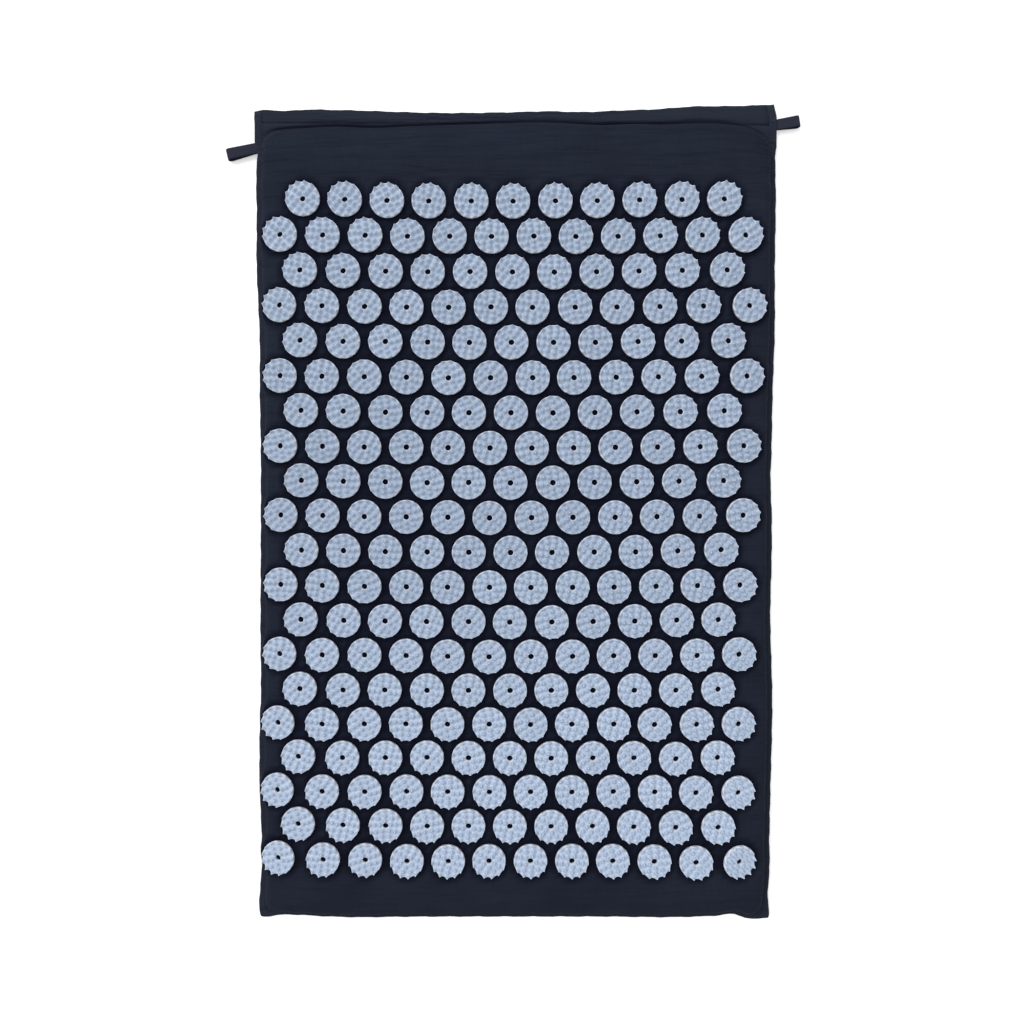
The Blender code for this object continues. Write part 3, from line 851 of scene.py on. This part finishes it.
def zip_rings(outer, inner):
    """Triangles between two rings of (angle, index), whatever their counts."""
    moves = []
    paths = []
    for ring, points in enumerate((sorted(outer), sorted(inner))):
        first_angle, first_index = points[0]
        turn = points[1:] + [(first_angle + 2 * math.pi, first_index)]
        moves += [(angle, ring) for angle, _ in turn]
        paths.append([first_index] + [index for _, index in turn])
    here = [0, 0]
    faces = []
    for _, ring in sorted(moves):
        faces.append((paths[1][here[1]], paths[0][here[0]], paths[ring][here[ring] + 1]))
        here[ring] += 1
    return faces


def ring_angles(band):
    ring, parts, _ = BANDS[band]
    count, _, phase = SPIKE_RINGS[ring]
    total = count * parts
    return [(phase + 2 * math.pi * number / total) % (2 * math.pi) for number in range(total)]


def master_disc():
    """Places and faces of one disc, its underside at height zero."""
    rim = ring_angles(len(BANDS) - 1)
    rings = [(ring_angles(0), HOLE_RADIUS, 0, 0)]
    for band, (_, _, radii) in enumerate(BANDS):
        rings += [(ring_angles(band), radius, PLATE, 1) for radius in radii]
    rings += [(rim, DISC_RADIUS, RIM, RIM_SPIKES), (rim, DISC_RADIUS, RIM_BEVEL, 0)]
    rings.append((rim, DISC_RADIUS - RIM_BEVEL, 0, 0))
    places = []
    paths = []
    for angles, radius, base, spikes in rings:
        x = radius * np.cos(angles)
        y = radius * np.sin(angles)
        paths.append([(angle, len(places) + number) for number, angle in enumerate(angles)])
        places += zip(x, y, base + spikes * spike_height(x, y))
    faces = []
    for inner, outer in zip(paths, paths[1:]):
        faces += zip_rings(outer, inner)
    return np.array(places), faces + [face[::-1] for face in zip_rings(paths[-1], paths[0])]


def disc_matrix(plane):
    _, x, y, middle, slope_x, slope_y, turn, _ = plane
    normal = Vector((-slope_x, -slope_y, 1)).normalized()
    tilt = Vector((0, 0, 1)).rotation_difference(normal).to_matrix().to_4x4()
    seated = Matrix.Translation((x, y, middle)) @ tilt @ Matrix.Translation((0, 0, CLOTH / 2 + SEAT))
    return seated @ Matrix.Rotation(turn, 4, "Z")


def build_disc_row(row, planes, places, faces, material):
    corners = np.column_stack((places, np.ones(len(places))))
    laid = [(corners @ np.array(disc_matrix(plane)).T)[:, :3] for plane in planes]
    numbered = [np.array(faces) + number * len(places) for number in range(len(planes))]
    mesh = mesh_from(f"disc_row_{row:02d}", np.vstack(laid).tolist(), np.vstack(numbered).tolist())
    mesh.set_sharp_from_angle(angle=math.radians(62))
    height = np.clip((places[:, 2] - PLATE) / SPIKE, 0, 1)
    radius = np.hypot(places[:, 0], places[:, 1])
    # Points on the rim's and the hole's walls, painted lighter in the material.
    edge = (radius > DISC_RADIUS - RIM_BEVEL - SLIT) | (radius < HOLE_RADIUS + SLIT)
    set_values(mesh, "tone_and_painted_light", np.repeat([plane[-1] for plane in planes], len(places)))
    set_values(mesh, "spike", np.tile(height, len(planes)))
    set_values(mesh, "edge", np.tile(edge, len(planes)))
    piece = new_piece(f"disc_row_{row:02d}", mesh, material)
    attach(piece, "pad")
    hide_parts(f"spike_disc_row_{row:02d}")
    return piece


# Stitches

def seam_path(inset):
    """Places along the topstitch, down the left side, across the foot and up the right side."""
    radius = STITCH_CORNER
    x_end = HALF_WIDTH - inset
    y_end = -HALF_LENGTH + inset
    left = [(-x_end, y) for y in np.linspace(HALF_LENGTH - inset, y_end + radius, SEAM_STEPS)]
    corner = []
    for turn in np.linspace(0, math.pi / 2, 6)[1:-1]:
        corner.append((-x_end + radius * (1 - math.cos(turn)), y_end + radius * (1 - math.sin(turn))))
    foot = [(x, y_end) for x in np.linspace(-x_end + radius, x_end - radius, SEAM_STEPS)]
    half = left + corner
    nominal = np.array(half + foot + [(-x, y) for x, y in reversed(half)])
    x, y = warp(nominal[:, 0], nominal[:, 1])
    return np.column_stack((x, y))


def build_stitches(name, node, surface, outwards, material):
    path = seam_path(STITCH_INSET)
    along = lengths_along(path)
    chance = np.random.default_rng(11)
    shares = np.array(STITCH_SHARES)
    bows = 1 - abs(2 * shares - 1) ** 4
    radii = THREAD_RADIUS * (THREAD_END + (1 - THREAD_END) * bows)
    heights = surface + outwards * (THREAD_RADIUS * THREAD_RISE - STITCH_DIP * (1 - bows))
    places = []
    faces = []
    flat = []
    for number in range(int(along[-1] / STITCH_PITCH)):
        spots = (number + 0.5) * STITCH_PITCH - STITCH_LENGTH / 2 + shares * STITCH_LENGTH
        wander = STITCH_WANDER * chance.standard_normal() * (2 * shares - 1)
        x = np.interp(spots, along, path[:, 0]) + wander
        y = np.interp(spots, along, path[:, 1]) + wander
        points = [Vector(point) for point in zip(x, y, heights)]
        add_tube(places, faces, points, radii.tolist(), THREAD_SIDES)
        flat += [(spot, side * THREAD_RADIUS) for spot in spots for side in range(THREAD_SIDES)]
    mesh = mesh_from(name, places, faces)
    mesh.set_sharp_from_angle(angle=math.radians(75))
    set_uv(mesh, flat)
    piece = new_piece(name, mesh, material)
    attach(piece, "pad")
    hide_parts(node)
    return piece


# The hanging loops

def loop_outline(length):
    """Places round the folded webbing's middle line: along the loop, and up."""
    tip = LOOP_TIP_RADIUS - WEBBING / 2
    root = LOOP_ROOT_RADIUS - WEBBING / 2
    reach = length - LOOP_TIP_RADIUS
    touch = math.pi / 2 + math.asin((tip - root) / reach)
    points = []
    for turn in np.linspace(-touch, touch, TIP_POINTS):
        points.append((reach + tip * math.cos(turn), tip * math.sin(turn)))
    for turn in np.linspace(touch, 2 * math.pi - touch, ROOT_POINTS):
        points.append((root * math.cos(turn), root * math.sin(turn)))
    dense = []
    for start, end in zip(np.array(points), np.roll(points, -1, axis=0)):
        parts = max(1, round(math.dist(start, end) / LOOP_STEP))
        dense += [start + (end - start) * (part / parts) for part in range(parts)]
    return np.array(dense)


def webbing_section():
    """(across, out) round the webbing's section."""
    half = LOOP_WIDTH / 2
    thin = WEBBING / 2
    edge = [(-half, 0), (-half + SELVEDGE, thin * 0.8), (-half + SELVEDGE_ROUND, thin), (-half / 2, thin)]
    face = edge + [(0, thin)] + [(-across, out) for across, out in reversed(edge)]
    return face + [(-across, -out) for across, out in face[1:-1]]


def build_loop(name, node, body, joint, material):
    low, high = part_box(node)
    root = JOINT_PLACES[joint]
    side = -1 if root.x < 0 else 1
    length = (high.x if side > 0 else -low.x) - abs(root.x)
    outline = loop_outline(length)
    normals = side_normals(np.roll(outline, -1, axis=0) - np.roll(outline, 1, axis=0))
    rise = math.asin((LOOP_TIP_RADIUS + LOOP_FLOOR_GAP - root.z) / (length - LOOP_TIP_RADIUS))
    lean = LOOP_LEANS[body]
    section = webbing_section()
    places = []
    flat = []
    for middle, normal, along in zip(outline, normals, lengths_along(outline)):
        for across, out in section:
            reach, up = middle + out * normal
            x = reach * math.cos(rise) - up * math.sin(rise)
            z = reach * math.sin(rise) + up * math.cos(rise)
            skew_x = x * math.cos(lean) - across * math.sin(lean) * smoothstep(reach / length)
            skew_y = x * math.sin(lean) + across
            places.append((root.x + side * skew_x, root.y + skew_y, root.z + z))
            flat.append((along, across))
    faces = ring_faces(len(outline), len(section), closed=True)
    if side < 0:
        faces = [face[::-1] for face in faces]
    mesh = mesh_from(name, places, faces)
    set_uv(mesh, flat)
    piece = new_piece(name, mesh, material)
    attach(piece, body)
    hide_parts(node)
    return piece


# The closing tapes

def tape_tufts(name, low, high, base_z, up, tuft):
    """Rows of small hooks or loops of yarn that stand on a tape's strip."""
    tall = (high.z - low.z) - TAPE_STRIP
    foot_z = base_z + up * TAPE_STRIP * TUFT_FOOT
    chance = np.random.default_rng(5)
    places = []
    faces = []
    for x in np.arange(low.x + TUFT_PITCH, high.x - TUFT_PITCH / 2, TUFT_PITCH):
        for y in np.arange(low.y + TUFT_PITCH / 2, high.y - TUFT_PITCH / 4, TUFT_PITCH):
            lean = TUFT_LEAN * chance.standard_normal()
            points = []
            for leaning, bends, rise in tuft:
                point = (x + leaning * lean, y + bends * TUFT_BEND, foot_z + up * tall * rise)
                points.append(Vector(point))
            add_tube(places, faces, points, [TUFT_RADIUS] * len(points), 4)
    return mesh_from(name, places, faces)


def build_tape(name, node, body, low, high, base_side, tuft, material):
    """A woven strip with its tufts. base_side is -1 where the strip is below them."""
    up = -base_side
    base_z = low.z if up > 0 else high.z
    columns, rows = TAPE_CELLS
    x, y = np.meshgrid(np.linspace(low.x, high.x, columns + 1), np.linspace(low.y, high.y, rows + 1))
    z = np.full_like(x, base_z + up * TAPE_STRIP / 2)
    mesh = mesh_from(name, stacked(x, y, z), grid_faces(columns + 1, rows + 1), smooth=False)
    piece = new_piece(name, mesh, material)
    thicken(piece, TAPE_STRIP)
    tufts = tape_tufts(name + "_tufts", low, high, base_z, up, tuft)
    edit_mesh(piece, lambda bm: bm.from_mesh(tufts))
    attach(piece, body)
    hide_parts(node)
    return piece


# Materials

def linear(red, green, blue):
    """A colour given as screen values from 0 to 255, as the shaders take it."""
    colour = []
    for value in (red, green, blue):
        share = value / 255
        colour.append(share / 12.92 if share < 0.04045 else ((share + 0.055) / 1.055) ** 2.4)
    return (*colour, 1)


def new_material(name, roughness):
    material = bpy.data.materials.new(name)
    material.use_nodes = True
    shader = material.node_tree.nodes["Principled BSDF"]
    shader.inputs["Roughness"].default_value = roughness
    return material, material.node_tree, shader


def add_node(tree, kind, inputs=None, **settings):
    """A node with its settings and its inputs, each a value or another node's output."""
    made = tree.nodes.new(kind)
    for key, value in settings.items():
        setattr(made, key, value)
    for key, value in (inputs or {}).items():
        if isinstance(value, bpy.types.NodeSocket):
            tree.links.new(value, made.inputs[key])
        else:
            made.inputs[key].default_value = value
    return made


def feed(shader, name, output):
    """Links a node's output to one of the shader's inputs."""
    shader.id_data.links.new(output, shader.inputs[name])


def math_of(tree, operation, first, second=0.0, third=0.0):
    inputs = {0: first, 1: second, 2: third}
    return add_node(tree, "ShaderNodeMath", inputs, operation=operation).outputs[0]


def times(tree, first, second):
    return math_of(tree, "MULTIPLY", first, second)


def times_plus(tree, first, second, third):
    return math_of(tree, "MULTIPLY_ADD", first, second, third)


def waves(tree, value, length):
    """A sine of a value, with one wave in each length."""
    return math_of(tree, "SINE", times(tree, value, 2 * math.pi / length))


def value_of(tree, name):
    """One of the numbers that a mesh carries at its points."""
    return add_node(tree, "ShaderNodeAttribute", attribute_name=name).outputs["Fac"]


def cloth_place(tree):
    return add_node(tree, "ShaderNodeUVMap", uv_map="cloth_metres").outputs[0]


def own_place(tree):
    return add_node(tree, "ShaderNodeTexCoord").outputs["Object"]


def noise_of(tree, vector, scale, detail=2.0, roughness=0.5):
    inputs = {"Vector": vector, "Scale": scale, "Detail": detail, "Roughness": roughness}
    return add_node(tree, "ShaderNodeTexNoise", inputs).outputs[0]


def mix(tree, share, first, second):
    inputs = {0: share, 6: first, 7: second}
    return add_node(tree, "ShaderNodeMix", inputs, data_type="RGBA").outputs[2]


def map_range(tree, value, from_low, from_high, to_low=0.0, to_high=1.0):
    inputs = {0: value, 1: from_low, 2: from_high, 3: to_low, 4: to_high}
    return add_node(tree, "ShaderNodeMapRange", inputs).outputs[0]


def scaled(tree, vector, x, y):
    inputs = {"Vector": vector, "Scale": (x, y, 1.0)}
    return add_node(tree, "ShaderNodeMapping", inputs).outputs[0]


def bump(tree, height, strength, distance, under=None):
    """A normal from a height. under is the normal of finer relief that it lies over."""
    inputs = {"Height": height, "Strength": strength, "Distance": distance}
    if under is not None:
        inputs["Normal"] = under
    return add_node(tree, "ShaderNodeBump", inputs).outputs[0]


def woven_height(tree, uv, pitch):
    """Height of a plain weave, from 0 to 1: yarns that pass over and under each other."""
    split = add_node(tree, "ShaderNodeSeparateXYZ", {0: uv})
    across = waves(tree, split.outputs[0], 2 * pitch)
    along = waves(tree, split.outputs[1], 2 * pitch)
    return times_plus(tree, times(tree, across, along), 0.5, 0.5)


def cotton(name, dark, light, worn, painted_shade_colour):
    material, tree, shader = new_material(name, 0.92)
    shader.inputs["Specular IOR Level"].default_value = 0.04
    uv = cloth_place(tree)
    weave = woven_height(tree, uv, YARN_PITCH)
    warp_slubs = noise_of(tree, scaled(tree, uv, 1900, 60), 1.0, 3.0)
    weft_slubs = noise_of(tree, scaled(tree, uv, 60, 1900), 1.0, 3.0)
    slubs = times_plus(tree, math_of(tree, "ADD", warp_slubs, weft_slubs), 0.5, 0.0)
    clouds = noise_of(tree, uv, 22.0, 3.0, 0.6)
    share = times_plus(tree, slubs, 1.1, -0.25)
    share = times_plus(tree, clouds, 0.7, share)
    share = times_plus(tree, weave, 0.2, share)
    colour = mix(tree, times_plus(tree, share, 1.0, -0.2), linear(*dark), linear(*light))
    inset = value_of(tree, "inset")
    faded = map_range(tree, inset, 0.0062, 0.0045, 0.0, 0.4)
    colour = mix(tree, faded, colour, linear(*worn))
    # Painted shade: the cloth darkened round the discs and along the crease's dark line.
    shaded = value_of(tree, "shaded")
    colour = mix(tree, times(tree, shaded, 0.8), colour, linear(*painted_shade_colour))
    fray = noise_of(tree, uv, 900.0, 2.0)
    edge = map_range(tree, inset, 0.0009, 0.0, 0.0, 0.8)
    colour = mix(tree, times(tree, edge, fray), colour, linear(*worn))
    feed(shader, "Base Color", colour)
    feed(shader, "Roughness", map_range(tree, slubs, 0.3, 0.7, 0.84, 0.97))
    shader.inputs["Sheen Weight"].default_value = 0.006
    shader.inputs["Sheen Roughness"].default_value = 0.6
    shader.inputs["Sheen Tint"].default_value = linear(*worn)
    pucker = noise_of(tree, uv, 330.0, 2.0)
    near_seam = times(tree, map_range(tree, inset, 0.0058, 0.0046), map_range(tree, inset, 0.0026, 0.0040))
    height = times_plus(tree, slubs, 0.6, weave)
    fine = bump(tree, height, 0.55, 0.00012)
    puckered = bump(tree, times(tree, pucker, near_seam), 0.5, 0.0006, fine)
    folds = noise_of(tree, scaled(tree, uv, 9, 75), 1.0, 3.0, 0.55)
    feed(shader, "Normal", bump(tree, folds, 0.8, 0.0065, puckered))
    return material


def frosted_plastic():
    material, tree, shader = new_material("frosted plastic", 0.38)
    place = own_place(tree)
    tone_and_painted_light = value_of(tree, "tone_and_painted_light")
    spike = value_of(tree, "spike")
    clouds = noise_of(tree, place, 260.0, 3.0, 0.6)
    # Base colour: a random tone, lighter row by row towards the foot as painted light.
    share = times_plus(tree, tone_and_painted_light, 0.82, times_plus(tree, clouds, 1.1, -0.19))
    colour = mix(tree, share, linear(135, 151, 173), linear(190, 206, 229))
    # Painted light and shade on the spike flanks: lighter in the rows at the head, darker towards the
    # foot.
    flank = times(tree, map_range(tree, spike, 0.08, 0.35), map_range(tree, spike, 0.95, 0.5))
    flank_colour = mix(tree, tone_and_painted_light, linear(172, 188, 211), linear(98, 118, 150))
    colour = mix(tree, times(tree, flank, 0.34), colour, flank_colour)
    # Spike tips lighter: partly wear, partly painted highlight.
    colour = mix(tree, map_range(tree, spike, 0.6, 1.0, 0.0, 0.8), colour, linear(216, 225, 240))
    # Painted light: the rim's and the hole's walls lighter, a bright line round each disc.
    edge = value_of(tree, "edge")
    colour = mix(tree, times(tree, edge, 0.8), colour, linear(226, 233, 244))
    feed(shader, "Base Color", colour)
    grain = noise_of(tree, place, 3200.0, 2.0)
    feed(shader, "Roughness", map_range(tree, clouds, 0.3, 0.7, 0.2, 0.36))
    feed(shader, "Normal", bump(tree, grain, 0.35, 0.00005))
    return material


def open_cell_foam():
    material, tree, shader = new_material("open cell foam", 0.97)
    place = own_place(tree)
    cells = add_node(tree, "ShaderNodeTexVoronoi", {"Vector": place, "Scale": 1300.0}).outputs["Distance"]
    clouds = noise_of(tree, place, 30.0, 3.0)
    colour = mix(tree, clouds, linear(226, 220, 200), linear(236, 233, 222))
    # Painted shade: darker in the cells' pits.
    colour = mix(tree, map_range(tree, cells, 0.35, 0.0, 0.0, 0.5), colour, linear(176, 168, 146))
    feed(shader, "Base Color", colour)
    feed(shader, "Normal", bump(tree, cells, 0.8, 0.0004))
    return material


def woven_webbing():
    material, tree, shader = new_material("woven webbing", 0.85)
    uv = cloth_place(tree)
    split = add_node(tree, "ShaderNodeSeparateXYZ", {0: uv})
    slant = math_of(tree, "ABSOLUTE", split.outputs[1])
    leaning = math_of(tree, "ADD", split.outputs[0], slant)
    ribs = waves(tree, leaning, RIB_PITCH)
    yarns = waves(tree, split.outputs[1], YARN_PITCH)
    height = times_plus(tree, ribs, 0.35, times_plus(tree, yarns, 0.15, 0.5))
    lint = noise_of(tree, uv, 1400.0, 3.0)
    share = times_plus(tree, lint, 0.6, times(tree, height, 0.5))
    colour = mix(tree, share, linear(26, 28, 42), linear(44, 47, 65))
    feed(shader, "Base Color", colour)
    feed(shader, "Roughness", map_range(tree, lint, 0.3, 0.7, 0.75, 0.92))
    shader.inputs["Sheen Weight"].default_value = 0.02
    shader.inputs["Specular IOR Level"].default_value = 0.2
    feed(shader, "Normal", bump(tree, height, 0.7, 0.0002))
    return material


def sewing_thread():
    material, tree, shader = new_material("sewing thread", 0.6)
    shader.inputs["Specular IOR Level"].default_value = 0.15
    uv = cloth_place(tree)
    split = add_node(tree, "ShaderNodeSeparateXYZ", {0: uv})
    twist = math_of(tree, "ADD", split.outputs[0], split.outputs[1])
    plies = waves(tree, twist, PLY_PITCH)
    lint = noise_of(tree, uv, 2600.0, 2.0)
    share = times_plus(tree, plies, 0.2, lint)
    colour = mix(tree, share, linear(26, 30, 42), linear(42, 46, 60))
    feed(shader, "Base Color", colour)
    feed(shader, "Roughness", map_range(tree, lint, 0.3, 0.7, 0.5, 0.7))
    feed(shader, "Normal", bump(tree, plies, 0.5, 0.0001))
    return material


def tape_nylon():
    material, tree, shader = new_material("closing tape nylon", 0.6)
    place = own_place(tree)
    weave = noise_of(tree, place, 1500.0, 3.0)
    colour = mix(tree, weave, linear(20, 21, 25), linear(40, 42, 48))
    feed(shader, "Base Color", colour)
    feed(shader, "Roughness", map_range(tree, weave, 0.3, 0.7, 0.5, 0.75))
    feed(shader, "Normal", bump(tree, weave, 0.5, 0.0001))
    return material


# Camera, lamps and floor

def set_camera():
    data = bpy.data.cameras.new("camera")
    data.sensor_width = SENSOR
    data.lens = SENSOR * FOCAL_PIXELS / IMAGE_PIXELS
    data.clip_start = 0.01
    camera = add_object("camera", data)
    camera.location = CAMERA_PLACE
    camera.rotation_euler = CAMERA_TURN
    bpy.context.scene.camera = camera


def add_lamp(name, place, size, watts):
    data = bpy.data.lights.new(name, "AREA")
    data.size = size
    data.energy = watts
    lamp = add_object(name, data)
    lamp.location = place
    lamp.rotation_euler = (-Vector(place)).to_track_quat("-Z", "Y").to_euler()


def seen_directly(tree):
    """One for rays from the camera, from a gloss or through a clear thing, and zero for the rest."""
    path = add_node(tree, "ShaderNodeLightPath")
    seen = math_of(tree, "MAXIMUM", path.outputs["Is Camera Ray"], path.outputs["Is Glossy Ray"])
    return math_of(tree, "MAXIMUM", seen, path.outputs["Is Transmission Ray"])


def add_sun(name, direction, level):
    """Parallel light of the level that a flat floor takes from it, soft at its shadows' edges."""
    towards = Vector(direction).normalized()
    data = bpy.data.lights.new(name, "SUN")
    data.energy = level * math.pi / towards.z
    data.angle = SUN_SPREAD
    lamp = add_object(name, data)
    lamp.rotation_euler = towards.to_track_quat("Z", "Y").to_euler()


def set_light():
    world = bpy.data.worlds.new("studio")
    world.use_nodes = True
    background = world.node_tree.nodes["Background"]
    background.inputs["Color"].default_value = (1, 1, 1, 1)
    level = map_range(world.node_tree, seen_directly(world.node_tree), 0.0, 1.0, WORLD_LEVEL, 1.0)
    world.node_tree.links.new(level, background.inputs["Strength"])
    bpy.context.scene.world = world
    add_sun("left_light", SUN_FROM, SUN_LEVEL)
    add_lamp("head_lamp", HEAD_LAMP_PLACE, HEAD_LAMP_SIZE, HEAD_LAMP_WATTS)
    bpy.context.scene.view_settings.view_transform = "Standard"


def add_floor():
    bm = bmesh.new()
    bmesh.ops.create_grid(bm, x_segments=8, y_segments=8, size=FLOOR_REACH)
    mesh = bpy.data.meshes.new("floor")
    bm.to_mesh(mesh)
    bm.free()
    material, tree, shader = new_material("white floor", 0.9)
    shader.inputs["Base Color"].default_value = (0.9, 0.9, 0.9, 1)
    shader.inputs["Specular IOR Level"].default_value = 0.1
    level = times(tree, seen_directly(tree), FLOOR_GLOW)
    glow = add_node(tree, "ShaderNodeEmission", {"Strength": level})
    both = add_node(tree, "ShaderNodeAddShader", {0: shader.outputs[0], 1: glow.outputs[0]})
    tree.links.new(both.outputs[0], tree.nodes["Material Output"].inputs["Surface"])
    floor = new_piece("floor", mesh, material)
    floor.location.z = -FLOOR_DROP


def build():
    set_camera()
    set_light()
    add_floor()
    # The last colour given to each cloth is its painted shade.
    cover_cotton = cotton("navy cotton", (21, 26, 37), (40, 45, 59), (49, 54, 67), (6, 8, 23))
    lining = cotton("navy lining", (22, 25, 35), (40, 44, 57), (54, 57, 70), (10, 12, 22))
    plastic = frosted_plastic()
    webbing = woven_webbing()
    thread = sewing_thread()
    tape = tape_nylon()
    planes = disc_planes()
    build_cover(cover_cotton, planes)
    build_flap(cover_cotton)
    build_bottom(lining)
    build_foam(open_cell_foam(), planes)
    places, faces = master_disc()
    for row in range(1, ROWS + 1):
        build_disc_row(row, [plane for plane in planes if plane[0] == row], places, faces, plastic)
    build_stitches("needle_stitches", "seam_needle_thread", FLANGE_MIDDLE + CLOTH / 2, 1, thread)
    build_stitches("bobbin_stitches", "seam_bobbin_thread", LOWER_FLANGE_MIDDLE - CLOTH / 2, -1, thread)
    build_loop("loop_left", "hang_loop_left", "left_loop", "left_loop_swing", webbing)
    build_loop("loop_right", "hang_loop_right", "right_loop", "right_loop_swing", webbing)
    build_tape("hook_tape", "mouth_hook_tape", "pad", HOOK_LOW, HOOK_HIGH, -1, HOOK_TUFT, tape)
    build_tape("pile_tape", "mouth_loop_tape", "mouth", PILE_LOW, PILE_HIGH, 1, LOOP_TUFT, tape)


build()
